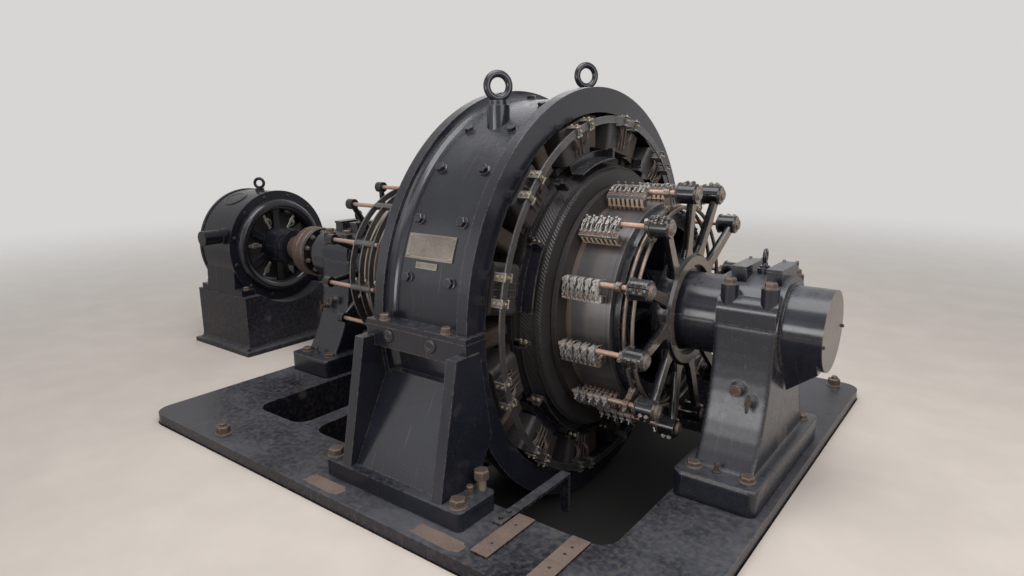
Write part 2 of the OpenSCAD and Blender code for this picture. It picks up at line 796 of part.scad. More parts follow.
module interpole_coils() color(copper) at_poles(pole_angle - pole_pitch / 2)
    wound_coil(interpole_coil_l, interpole_coil_w, interpole_l, interpole_w,
        coil_foot_r + interpole_coil_step, coil_top_r);

module field_straps() color(steel) union() {
    on_shaft(strap_x) tube(strap_r + strap_h / 2, strap_r - strap_h / 2, strap_t);
    at_poles(pole_angle) for (y = span(strap_lug_pitch / 2))
        block([coil_x1 + seat_gap, strap_x + 2 * strap_t], [y - strap_lug_w / 2, y + strap_lug_w / 2],
            [strap_r - strap_inset + 2, strap_r + strap_inset - 6]);
}

module winding_guards() color(enamel) for (i = [0:2:pole_count - 1])
    on_shaft() rotate([0, 0, 180 - pole_angle + pole_pitch - i * pole_pitch - guard_half_span])
        rotate_extrude(angle = 2 * guard_half_span) polygon([
            [guard_r, coil_x1 + seat_gap], [guard_top_r, coil_x1 + seat_gap],
            [guard_top_r, coil_x1 + seat_gap + guard_t], [guard_r + guard_t, coil_x1 + seat_gap + guard_t],
            [guard_r + guard_t, coil_x1 + guard_l], [guard_r, coil_x1 + guard_l]]);

module cable_bracket() color(enamel) translate([bracket_x - bracket_w / 2, 0, 0]) union() {
    post_y = -pit_y + bracket_reach;
    block([0, bracket_w], [-pit_y - bracket_land, post_y], [bed_top, bed_top + bracket_t]);
    block([0, bracket_w], [post_y - bracket_t, post_y], [bed_top, bed_top + bracket_h]);
}

// Pedestal bearings, drawn for a neck that points to -X and placed at their middle

// Half width of the column at a height above the floor
function column_half(z) = let (t = (shaft_h + joint_h - z) / (shaft_h + joint_h - bed_top - base_h))
    column_y + (column_foot_y - column_y) * pow(t, column_curve);

// Side of the column, from the cap joint down to the base
function column_side(n = 10) = [for (i = [0:n])
    let (z = (shaft_h + joint_h) * (1 - i / n) + (bed_top + base_h) * i / n) [column_half(z), z]];

// Face of the boss that carries an oil fitting at a depth below the shaft
function fitting_y(depth) = column_half(shaft_h - depth - column_step * 5) + fitting_boss_h;

function column_outline() = let (side = column_side())
    concat(side, [for (i = [len(side) - 1:-1:0]) [-side[i][0], side[i][1]]]);

module bearing_body(neck, seat) {
    on_shaft(-barrel_l / 2) cylinder(r = barrel_r, h = barrel_l);
    on_shaft(-barrel_l / 2 - neck) cylinder(r = neck_r, h = neck + cut);
    on_shaft(-barrel_l / 2 - neck + seat_inset) cylinder(r = rocker_seat_r - running_gap, h = seat);
}

module bearing_bore(neck) on_shaft(-barrel_l / 2 - neck - cut)
    cylinder(r = housing_bore_r + seat_gap, h = barrel_l + neck + 2 * cut);

module pedestal(neck, seat) color(enamel) difference() {
    union() {
        translate([base_shift - base_l / 2, -base_y, bed_top])
            rounded_plate(base_l, 2 * base_y, base_h, base_corner_r);
        translate([-column_l / 2, 0, 0]) side_plate(column_l, column_outline());
        intersection() {
            bearing_body(neck, seat);
            block([-base_l - neck, base_l], span(base_y), [bed_top, shaft_h + joint_h]);
        }
        for (p = fitting_places)
            translate([p[0], -column_y / 2, shaft_h - p[1]]) rotate([90, 0, 0])
                cylinder(r = p[2] + fitting_boss_h / 2, h = fitting_y(p[1]) - column_y / 2);
    }
    bearing_bore(neck);
}

module bearing_cap(neck, seat) color(enamel) difference() {
    union() {
        intersection() {
            bearing_body(neck, seat);
            block([-base_l - neck, base_l], span(base_y), [shaft_h + joint_h, shaft_h + 2 * barrel_r]);
        }
        translate([-column_l / 2, 0, shaft_h + joint_h]) cap_shoulders();
        for (x = span(cap_boss_x), y = span(cap_boss_y))
            translate([x, y, shaft_h + joint_h]) cylinder(r = cap_boss_r, h = cap_boss_h - joint_h);
        for (x = span(lid_x))
            block([x - lid_w / 2, x + lid_w / 2], [-lid_l / 2 + lid_lap, lid_l / 2 - lid_lap],
                [shaft_h + shoulder_h, shaft_h + lid_seat_h]);
        for (x = span(lid_x), s = span(1))
            translate([x + s * (lid_w / 2 - pin_r) - ear_t / 2, 0, shaft_h + lid_seat_h]) hinge_ear();
        translate([0, 0, shaft_h + barrel_r - collar_h]) cylinder(r = collar_r, h = 2 * collar_h);
    }
    bearing_bore(neck);
}

// The block with round shoulders that lies on the column
module cap_shoulders() rotate([90, 0, 90]) linear_extrude(column_l) intersection() {
    round_y = column_y - shoulder_r;
    translate([-column_y, 0]) square([2 * column_y, shoulder_h]);
    union() {
        translate([-column_y, 0]) square([2 * column_y, shoulder_h - shoulder_r]);
        translate([-round_y, 0]) square([2 * round_y, shoulder_h]);
        for (y = span(round_y)) translate([y, shoulder_h - shoulder_r]) circle(shoulder_r);
    }
}

// An ear with a hole for a hinge pin
module hinge_ear() difference() {
    union() {
        block([0, ear_t], [lid_l / 2 - lid_lap - cut, pin_y + ear_r], [-2 * ear_r, lid_t / 2]);
        translate([0, pin_y, lid_t / 2]) rotate([0, 90, 0]) cylinder(r = ear_r, h = ear_t);
    }
    translate([-cut, pin_y, lid_t / 2]) rotate([0, 90, 0])
        cylinder(r = pin_r + running_gap, h = ear_t + 2 * cut);
}

module lid(x) color(enamel) translate([x, 0, 0]) {
    inner = lid_w / 2 - pin_r - ear_t / 2 - ear_gap;
    hinge_side = lid_l / 2 - 2 * lid_lap + ear_gap;
    block(span(lid_w / 2), [-lid_l / 2, hinge_side], [shaft_h + lid_seat_h + seat_gap, pin_z + lid_t / 2]);
    block(span(inner), [hinge_side - cut, pin_y], [shaft_h + lid_seat_h + 2 * seat_gap, pin_z + lid_t / 2]);
    translate([-lid_w / 2 - cut, pin_y, pin_z]) rotate([0, 90, 0]) cylinder(r = pin_r, h = lid_w + 2 * cut);
    translate([-inner, pin_y, pin_z]) rotate([0, 90, 0]) cylinder(r = lid_t / 2, h = 2 * inner);
}

module outboard_pedestal() translate([outboard_x, 0, 0]) pedestal(neck_l, hub_l - recess_l);
module outboard_cap() translate([outboard_x, 0, 0]) bearing_cap(neck_l, hub_l - recess_l);
module inboard_pedestal() translate([inboard_x, 0, 0]) mirror([1, 0, 0]) pedestal(inner_neck_l, ac_hub_l);
module inboard_cap() translate([inboard_x, 0, 0]) mirror([1, 0, 0]) bearing_cap(inner_neck_l, ac_hub_l);
module outboard_lid_a() lid(outboard_x - lid_x);
module outboard_lid_b() lid(outboard_x + lid_x);
module inboard_lid_a() lid(inboard_x - lid_x);
module inboard_lid_b() lid(inboard_x + lid_x);

// Round cover at the end of a barrel, with a keel below
module end_cover(shaft_hole) color(enamel) difference() {
    edge_y = cover_r * cos(keel_angle);
    edge_z = shaft_h - cover_r * sin(keel_angle);
    keel_z = shaft_h - cover_r / sin(keel_angle);
    union() {
        on_shaft() cylinder(r = cover_r, h = cover_l);
        intersection() {
            side_plate(cover_l, [[-edge_y, edge_z], [0, keel_z], [edge_y, edge_z]]);
            translate([0, cover_r, 0]) rotate([90, 0, 0]) linear_extrude(2 * cover_r) polygon(
                [[0, keel_z], [0, shaft_h], [cover_l - cover_wall, edge_z],
                [cover_l - cover_wall, shaft_h - cover_r + cut]]);
        }
    }
    on_shaft(-cut) cylinder(r = housing_bore_r + cover_wall / 2, h = cover_l - cover_wall + cut);
    if (shaft_hole) on_shaft(-cut) cylinder(r = journal_r + shaft_gap, h = cover_l + 2 * cut);
}

module end_covers() {
    translate([outboard_x + barrel_l / 2, 0, 0]) end_cover(false);
    translate([inboard_x - barrel_l / 2, 0, 0]) mirror([1, 0, 0]) end_cover(true);
}

module bearing_shells() color("#b08d57") for (x = [outboard_x, inboard_x])
    on_shaft(x - barrel_l / 2 + column_step)
        tube(housing_bore_r, journal_r + running_gap, barrel_l - 2 * column_step);

module bearing_eyes() color(steel) for (x = [outboard_x, inboard_x])
    translate([x, 0, shaft_h + barrel_r + collar_h]) {
        cylinder(r = small_eye_r - small_eye_bar_r, h = small_eye_r);
        translate([0, 0, 2 * small_eye_r]) rotate([0, 0, 30]) eye(small_eye_r, small_eye_bar_r);
    }

// Plug, drain cock and oil gauge on the near side of each pedestal
module oil_fittings() color(steel) for (m = [0, 1], p = fitting_places)
    translate([m == 0 ? outboard_x + p[0] : inboard_x - p[0], -fitting_y(p[1]), shaft_h - p[1]])
        rotate([90, 0, 0]) cylinder(r = p[2], h = p[3]);

// Rotating parts

module shaft() color(steel) on_shaft() {
    translate([0, 0, coupling_x + seat_gap])
        cylinder(r = journal_r, h = shaft_x1 - coupling_x - seat_gap);
    translate([0, 0, ac_star_x + 2 * seat_inset])
        cylinder(r = shaft_r, h = neck_x - ac_star_x - 3 * seat_inset);
}

module armature_core() color(dark_enamel) on_shaft(-core_x1) difference() {
    tube(armature_r, core_bore_r, armature_l);
    for (k = [1:3]) translate([0, 0, (k * armature_l - 2 * duct_w) / 4])
        tube(armature_r + cut, armature_r - duct_depth, duct_w);
}

module armature_spider() color(dark_enamel) union() {
    rim_in_r = core_bore_r - spider_rim_t;
    on_shaft(-core_x1 - spider_hub_t)
        tube(spider_hub_r + spider_rim_t / 2, shaft_r, armature_l + 2 * spider_hub_t);
    for (i = [0:spider_arms - 1]) at_angle((i + 0.5) * 360 / spider_arms)
        block(span(core_x1), span(spider_arm_t / 2), [spider_hub_r, rim_in_r + cut]);
    on_shaft(-core_x1) tube(core_bore_r, rim_in_r, armature_l);
}

module end_winding() on_shaft() rotate_extrude() polygon([
    [winding_top_r - winding_depth, core_x1], [winding_top_r, core_x1],
    [winding_top_r, core_x1 + winding_inset],
    [winding_end_r, winding_x1], [winding_end_r - winding_depth, winding_x1]]);

module winding_support() on_shaft(core_x1) tube(winding_end_r - winding_depth,
    winding_end_r - winding_depth - support_t, winding_l - winding_inset);

module end_windings() color(varnish) for (m = [0, 1]) mirror([m, 0, 0]) {
    end_winding();
    winding_support();
}

module commutator_risers() color(copper) on_shaft(riser_x) tube(riser_r, bar_r, riser_t);

module commutator() color(copper) on_shaft(track_x) tube(commutator_r, bar_r, track_l);

module spider(x0, x1, rim_r) {
    on_shaft(x0) tube(spider_hub_r, shaft_r, x1 - x0);
    for (i = [0:spider_arms - 1]) at_angle(i * 360 / spider_arms)
        block([x0 + 10, x1 - 10], span(spider_arm_t / 2), [spider_hub_r - 4, rim_r + cut]);
}

module commutator_spider() color(dark_enamel) union() {
    rim_in_r = bar_r - spider_rim_t;
    spider(riser_x, clamp_x1, rim_in_r);
    on_shaft(riser_x) tube(bar_r, rim_in_r, clamp_x1 - riser_x);
    on_shaft(track_x1) tube(commutator_r - clamp_step, rim_in_r, clamp_l);
}

module slip_rings() color(copper) union() {
    sleeve_r = slip_r - slip_depth;
    x0 = slip_x_end - slip_w;
    x1 = slip_x + slip_w;
    for (i = [0:slip_count - 1])
        on_shaft(slip_x - i * slip_pitch - slip_w / 2) tube(slip_r, sleeve_r, slip_w);
    on_shaft(x0) tube(sleeve_r + cut, sleeve_r - spider_rim_t, x1 - x0);
    spider(x0, x1, sleeve_r - spider_rim_t);
}

// Brush rocker

// A ring on its seat, with an arm and a boss for each spindle
module rocker_hub() on_shaft(star_x) difference() {
    rotate_extrude() polygon([
        [rocker_seat_r, 0], [hub_r - hub_bevel, 0], [hub_r, hub_bevel], [hub_r, hub_l - hub_bevel],
        [hub_r - hub_bevel, hub_l], [rocker_seat_r, hub_l]]);
    translate([0, 0, hub_l - recess_l]) cylinder(r = neck_r + recess_w + rocker_seat_h, h = hub_l);
}

// A round arm with a flat outer face, leaning outwards from the hub to its boss
module rocker_arm() {
    arm_l = spindle_circle_r - hub_r;
    face_x = star_x + hub_l - hub_bevel;
    translate([face_x, 0, hub_r]) rotate([0, atan(arm_lean / arm_l), 0]) intersection() {
        translate([-arm_flat, 0, 0]) {
            translate([0, 0, -arm_r1]) cylinder(r1 = arm_r0, r2 = arm_r1, h = arm_l);
            translate([0, 0, -arm_r1]) cylinder(r1 = arm_root_r, r2 = arm_r1, h = arm_root_h);
        }
        translate([-hub_l, -hub_l, -hub_l]) cube([hub_l, 2 * hub_l, arm_l + hub_l]);
    }
}

// The boss at the end of an arm, slit outwards and closed by two lugs
module spindle_boss() difference() {
    union() {
        cylinder(r = boss_r, h = boss_l - boss_bevel);
        translate([0, 0, boss_l - boss_bevel])
            cylinder(r1 = boss_r, r2 = boss_r - boss_bevel, h = boss_bevel);
        translate([0, 0, -washer_t]) cylinder(r = boss_r + washer_t, h = washer_t);
        for (k = [1, 2]) translate([-boss_r, lug_w / 2, k * boss_l / 3]) rotate([90, 0, 0])
            cylinder(r = lug_r, h = lug_w);
    }
    translate([-boss_r - 2 * lug_r, -slot_w / 2, -washer_t - cut])
        cube([boss_r - spindle_r + 2 * lug_r, slot_w, boss_l + washer_t + 2 * cut]);
}

module rocker_star() color(dark_enamel) difference() {
    union() {
        rocker_hub();
        at_arms() {
            rocker_arm();
            along(boss_x, spindle_circle_r) spindle_boss();
        }
    }
    at_arms() along(boss_x - boss_l, spindle_circle_r)
        cylinder(r = spindle_r + seat_gap, h = 3 * boss_l);
}

module at_arms() for (i = [0:arm_count - 1]) at_angle(arm_angle + i * arm_pitch) children();

module brush_spindles() color(copper) at_arms() along(spindle_x0, spindle_circle_r) {
    cylinder(r = spindle_r, h = spindle_l);
    translate([0, 0, spindle_l - spindle_end + seat_gap]) cylinder(r = 2 * spindle_r, h = spindle_end / 2);
}

// A row of brush boxes beside the spindle, held by a few clamps
module brush_holder() difference() {
    union() {
        for (k = [0:clamp_count - 1])
            translate([holder_x + k * clamp_pitch - holder_w / 2, 0, spindle_circle_r]) {
            rotate([0, 90, 0]) cylinder(r = spindle_r + spindle_wall, h = holder_w);
            block([0, holder_w], [-brush_offset, 0], span(box_wall));
            block([box_wall / 2, holder_w - box_wall / 2], [-2 * spindle_r - spindle_wall, -spindle_r],
                [-box_wall, spindle_r + 2 * spindle_wall]);
        }
        at_brushes() block(span(brush_w / 2 + sleeve_wall), span(brush_t / 2 + box_wall),
            [commutator_r + box_gap, spindle_circle_r + box_wall]);
        rotate([brush_lean, 0, 0]) block([box_x0, box_x0 + box_l], span(brush_t / 2 + box_wall / 2),
            [spindle_circle_r - spindle_r - box_wall, spindle_circle_r]);
    }
    along(track_x, spindle_circle_r) cylinder(r = spindle_r + seat_gap, h = track_l);
    at_brushes() brush(brush_w + 2 * seat_gap, brush_t + 2 * seat_gap, [commutator_r, 2 * spindle_circle_r]);
}

module at_brushes() for (k = [0:brush_count - 1])
    translate([box_x0 + box_wall / 2 + (k + 0.5) * brush_pitch, 0, 0]) rotate([brush_lean, 0, 0]) children();

module brush(w, t, z) block(span(w / 2), span(t / 2), z);

module brush_holders() color(steel) at_arms() brush_holder();

module brushes() color(copper) at_arms() at_brushes()
    brush(brush_w, brush_t, [commutator_r + brush_gap, spindle_circle_r + 2 * box_wall]);

// Each ring hangs from every other spindle in a clamp
module connection_rings() color(copper) for (k = [0, 1])
    translate([clamp_x1 + ring_reach + k * ring_pitch, 0, 0]) difference() {
        union() {
            on_shaft() rotate_extrude() translate([ring_r, 0]) circle(ring_bar_r, $fn = 32);
            for (i = [k:2:arm_count - 1]) at_angle(arm_angle + i * arm_pitch) {
                block(span(clamp_w / 2), span(clamp_w / 2), [ring_r - cut, spindle_circle_r]);
                along(-clamp_w / 2, spindle_circle_r)
                    cylinder(r = spindle_r + spindle_wall, h = clamp_w);
            }
        }
        for (i = [k:2:arm_count - 1]) at_angle(arm_angle + i * arm_pitch)
            along(-clamp_w, spindle_circle_r)
                cylinder(r = spindle_r + seat_gap, h = 2 * clamp_w);
    }

// Slip-ring brush gear

module ac_star() color(dark_enamel) difference() {
    union() {
        on_shaft(ac_star_x - ac_hub_l) tube(ac_hub_r, rocker_seat_r, ac_hub_l);
        at_ac_arms() {
            translate([ac_star_x - ac_arm_r, 0, ac_hub_r - ac_arm_r])
                cylinder(r1 = ac_arm_r, r2 = ac_arm_r * 0.7, h = ac_circle_r - ac_hub_r);
            along(ac_star_x - ac_hub_l, ac_circle_r) cylinder(r = ac_boss_r, h = ac_hub_l);
        }
    }
    at_ac_arms() along(ac_star_x - ac_hub_l - cut, ac_circle_r)
        cylinder(r = spindle_r + seat_gap, h = ac_hub_l + 2 * cut);
}

module at_ac_arms() for (i = [0:arm_count - 1]) at_angle(ac_angle + i * arm_pitch) children();

module ac_spindles() color(copper) at_ac_arms() along(ac_star_x - ac_hub_l, ac_circle_r)
    cylinder(r = spindle_r, h = slip_x + slip_w / 2 - ac_star_x + ac_hub_l);

module collecting_rings() color(steel) difference() {
    union() {
        for (i = [0:slip_count - 1]) on_shaft(slip_x - i * slip_pitch - collector_t / 2)
            tube(ac_circle_r + collector_h / 2, ac_circle_r - collector_h / 2, collector_t);
        at_ac_arms() along(slip_x_end, ac_circle_r)
            cylinder(r = bobbin_r, h = slip_x - slip_x_end);
    }
    at_ac_arms() along(slip_x_end - slip_w, ac_circle_r)
        cylinder(r = spindle_r + seat_gap, h = slip_x - slip_x_end + 2 * slip_w);
}

module ac_brushes() color(copper) for (j = [0:3:arm_count - 1], i = [0:slip_count - 1])
    at_angle(ac_angle + j * arm_pitch) translate([slip_x - i * slip_pitch, 0, 0])
        brush(slip_w - 2 * box_wall, ac_brush_t, [slip_r + brush_gap, ac_circle_r - bobbin_r - seat_gap]);

// Coupling

// A flange with a bevel on both edges of its rim
module coupling_flange() {
    cylinder(r1 = coupling_r - coupling_bevel, r2 = coupling_r, h = coupling_bevel);
    translate([0, 0, coupling_bevel]) cylinder(r = coupling_r, h = coupling_t - 2 * coupling_bevel);
    translate([0, 0, coupling_t - coupling_bevel])
        cylinder(r1 = coupling_r, r2 = coupling_r - coupling_bevel, h = coupling_bevel);
}

module coupling_main_half() color(rust) on_shaft(coupling_x) difference() {
    half_l = coupling_t + coupling_hub_l;
    union() {
        coupling_flange();
        cylinder(r = coupling_hub_r, h = half_l);
    }
    translate([0, 0, -cut]) cylinder(r = journal_r + seat_gap, h = half_l + 2 * cut);
}

module coupling_motor_half() color(rust) on_shaft(coupling_x - coupling_t) difference() {
    union() {
        coupling_flange();
        translate([0, 0, -coupling_cone_l])
            cylinder(r1 = coupling_cone_r, r2 = coupling_hub_r, h = coupling_cone_l + cut);
    }
    translate([0, 0, -coupling_cone_l - cut])
        cylinder(r = motor_shaft_r + seat_gap, h = coupling_t + coupling_cone_l + 2 * cut);
}

// Small motor

module motor_plinth() color(dark_enamel) difference() {
    union() {
        translate([motor_mid_x - plinth_l / 2, 0, 0]) side_plate(plinth_l, plinth_outline(plinth_y));
        translate([motor_mid_x, -plinth_y, 0]) rotate([0, 0, 90])
            side_plate(2 * plinth_y, plinth_outline(plinth_l / 2));
        block([-plinth_l / 2 - plinth_flare, plinth_l / 2 + plinth_flare] + [motor_mid_x, motor_mid_x],
            [-plinth_y - plinth_flare, plinth_y + plinth_flare], [tail_h, tail_h + plinth_foot_h]);
    }
    on_shaft(motor_x0 - plinth_l) cylinder(r = motor_r + saddle_gap, h = 3 * plinth_l);
}

// Outline of the plinth: upright sides that run out to the foot in a hollow curve
function plinth_outline(half_w) = let (
    z = tail_h + plinth_foot_h + plinth_flare,
    side = concat([[half_w, plinth_top]], arc(half_w + plinth_flare, z, plinth_flare, 180, 270)))
    concat(side, [for (i = [len(side) - 1:-1:0]) [-side[i][0], side[i][1]]]);

module motor_frame() color(enamel) union() {
    difference() {
        union() {
            on_shaft(motor_x0) cylinder(r = motor_r, h = motor_l);
            for (x = [motor_x0, motor_x1 - motor_lip])
                on_shaft(x) cylinder(r = motor_r + motor_lip_h, h = motor_lip);
            motor_nozzle();
            for (s = span(1)) translate([motor_x0 + motor_lip, 0, 0]) side_plate(motor_l - 2 * motor_lip, [
                [s * (motor_bore_r - motor_lip), plinth_top], [s * motor_foot_y, plinth_top],
                [s * motor_foot_y, plinth_top + motor_foot_t], [s * (motor_r - motor_lip), motor_foot_z],
                [s * motor_bore_r, motor_foot_z]]);
            at_motor_ends() for (s = span(1))
                block([motor_x1 - 2 * motor_lip, motor_x1 + motor_pad_l],
                    span(motor_pad_w / 2) + s * (motor_foot_y - motor_pad_w / 2) * [1, 1],
                    [plinth_top, plinth_top + motor_foot_t]);
            translate([motor_mid_x, 0, shaft_h + motor_r - motor_lip])
                cylinder(r = small_eye_r, h = motor_lip + collar_h);
        }
        on_shaft(motor_x0 - cut) cylinder(r = motor_bore_r, h = motor_l + 2 * cut);
    }
    translate([motor_mid_x, 0, shaft_h + motor_r + collar_h + small_eye_r + small_eye_bar_r / 2])
        rotate([0, 0, 40]) eye(small_eye_r, small_eye_bar_r);
}

// The round nozzle on the near side, with a collar where it leaves the frame
module motor_nozzle() translate([motor_mid_x + motor_nozzle_x, 0, shaft_h + motor_nozzle_z])
    rotate([90, 0, 0]) {
        cylinder(r = motor_nozzle_r, h = motor_r + motor_nozzle_l);
        cylinder(r = motor_nozzle_r + motor_lip_h, h = motor_r + motor_lip);
    }

// Repeats what is drawn at the front of the motor at its back
module at_motor_ends() for (m = [0, 1]) translate([m * 2 * motor_mid_x, 0, 0]) mirror([m, 0, 0]) children();

module motor_end_rings() color(dark_enamel) at_motor_ends() on_shaft(motor_x1) rotate_extrude()
    polygon(concat([[end_ring_r, 0]], [for (p = arc(0, 0, 1, 0, 180, 12))
        [(end_ring_r + end_ring_bore_r + p[0] * (end_ring_r - end_ring_bore_r)) / 2, p[1] * end_ring_t]],
        [[end_ring_bore_r, 0]]));

module motor_brackets() color(enamel) {
    hub_out_r = motor_shaft_r + motor_hub_t;
    on_shaft(motor_x1 - 2 * motor_lip)
        tube(hub_out_r, motor_shaft_r + running_gap, motor_hub_l + 2 * motor_lip);
    for (k = [1, 2]) on_shaft(motor_x1 + motor_hub_l - k * 2 * motor_lip)
        tube(hub_out_r + motor_ridge_h, hub_out_r - motor_ridge_h, motor_lip);
    on_shaft(motor_x0 - rear_hub_l)
        tube(hub_out_r, motor_shaft_r + running_gap, rear_hub_l + 2 * motor_lip);
    at_motor_ends() intersection() {
        for (i = [0:bracket_arms - 1]) at_angle(i * 360 / bracket_arms)
            block([motor_x1 - 2 * motor_lip, motor_x1 - motor_lip], span(motor_lip),
                [hub_out_r - cut, motor_r]);
        on_shaft(motor_mid_x) cylinder(r = motor_bore_r - seat_gap, h = motor_l / 2);
    }
}

module motor_rotor() color(dark_enamel) union() {
    on_shaft(motor_x0 + core_gap) cylinder(r = motor_bore_r - motor_core_gap, h = motor_l - 2 * core_gap);
    on_shaft(motor_x0 - rear_hub_l) cylinder(r = motor_shaft_r, h = coupling_x - motor_x0 + rear_hub_l);
}

bedplate();
bed_tail();
yoke_lower();
yoke_upper();
lifting_eyes();
main_poles();
main_coils();
interpoles();
interpole_coils();
field_straps();
winding_guards();
cable_bracket();
outboard_pedestal();
outboard_cap();
end_covers();
inboard_pedestal();
inboard_cap();
bearing_shells();
bearing_eyes();
oil_fittings();
outboard_lid_a();
outboard_lid_b();
inboard_lid_a();
inboard_lid_b();
shaft();
armature_core();
armature_spider();
end_windings();
commutator_risers();
commutator();
commutator_spider();
slip_rings();
rocker_star();
brush_spindles();
brush_holders();
brushes();
connection_rings();
ac_star();
ac_spindles();
collecting_rings();
ac_brushes();
coupling_main_half();
coupling_motor_half();
motor_plinth();
motor_frame();
motor_end_rings();
motor_brackets();
motor_rotor();
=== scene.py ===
"""Looks of a rotary converter set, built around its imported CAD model.

Metres, in the model's own frame: the shaft lies along X at the height of the bearings, the
commutator points to +X, the near side is -Y, and angles round the shaft are counted from the top
towards the near side.
"""

import logging
import math
from dataclasses import dataclass
from enum import Enum
from typing import Iterable, Sequence

import bmesh
import bpy
from mathutils import Matrix, Vector

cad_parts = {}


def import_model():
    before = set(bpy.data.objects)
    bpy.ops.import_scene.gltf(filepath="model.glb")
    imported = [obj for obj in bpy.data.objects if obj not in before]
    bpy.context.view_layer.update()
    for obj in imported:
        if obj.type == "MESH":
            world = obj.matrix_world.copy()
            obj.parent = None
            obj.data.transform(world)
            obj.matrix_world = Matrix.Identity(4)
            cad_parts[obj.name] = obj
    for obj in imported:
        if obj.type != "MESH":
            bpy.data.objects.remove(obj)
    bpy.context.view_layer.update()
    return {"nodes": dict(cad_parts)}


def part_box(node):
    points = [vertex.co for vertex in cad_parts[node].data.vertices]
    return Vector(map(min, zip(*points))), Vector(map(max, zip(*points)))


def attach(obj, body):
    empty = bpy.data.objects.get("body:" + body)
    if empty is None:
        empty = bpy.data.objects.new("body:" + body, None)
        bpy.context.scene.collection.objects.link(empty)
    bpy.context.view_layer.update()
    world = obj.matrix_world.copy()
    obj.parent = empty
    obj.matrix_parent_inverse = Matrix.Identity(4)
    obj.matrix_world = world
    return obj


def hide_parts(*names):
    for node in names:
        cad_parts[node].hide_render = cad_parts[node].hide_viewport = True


LOG = logging.getLogger("converter")
Colour = tuple[float, float, float]
Point = tuple[float, float, float]
# Two values of one kind, such as the ends of a range, a place in a plane, and two lengths
Range = tuple[float, float]
Spot = tuple[float, float]
Size = tuple[float, float]
# Outer radius, inner radius and height
RingSize = tuple[float, float, float]
# Radius and height of each point, or the corners of an outline
Profile = Sequence[tuple[float, float]]
Route = Sequence[Point]
# Lowest and highest corner
Box = tuple[Point, Point]

ORIGIN: Point = (0.0, 0.0, 0.0)
SIDES = (-1, 1)
SHAFT_HEIGHT = 1.100
BED_TOP = 0.400


class Grain(Enum):
    """The ways in which a surface is worked, as a stretch of its pattern along X, Y and Z."""

    CAST = (1.0, 1.0, 1.0)
    ROUND_SHAFT = (1.0, 0.08, 0.08)


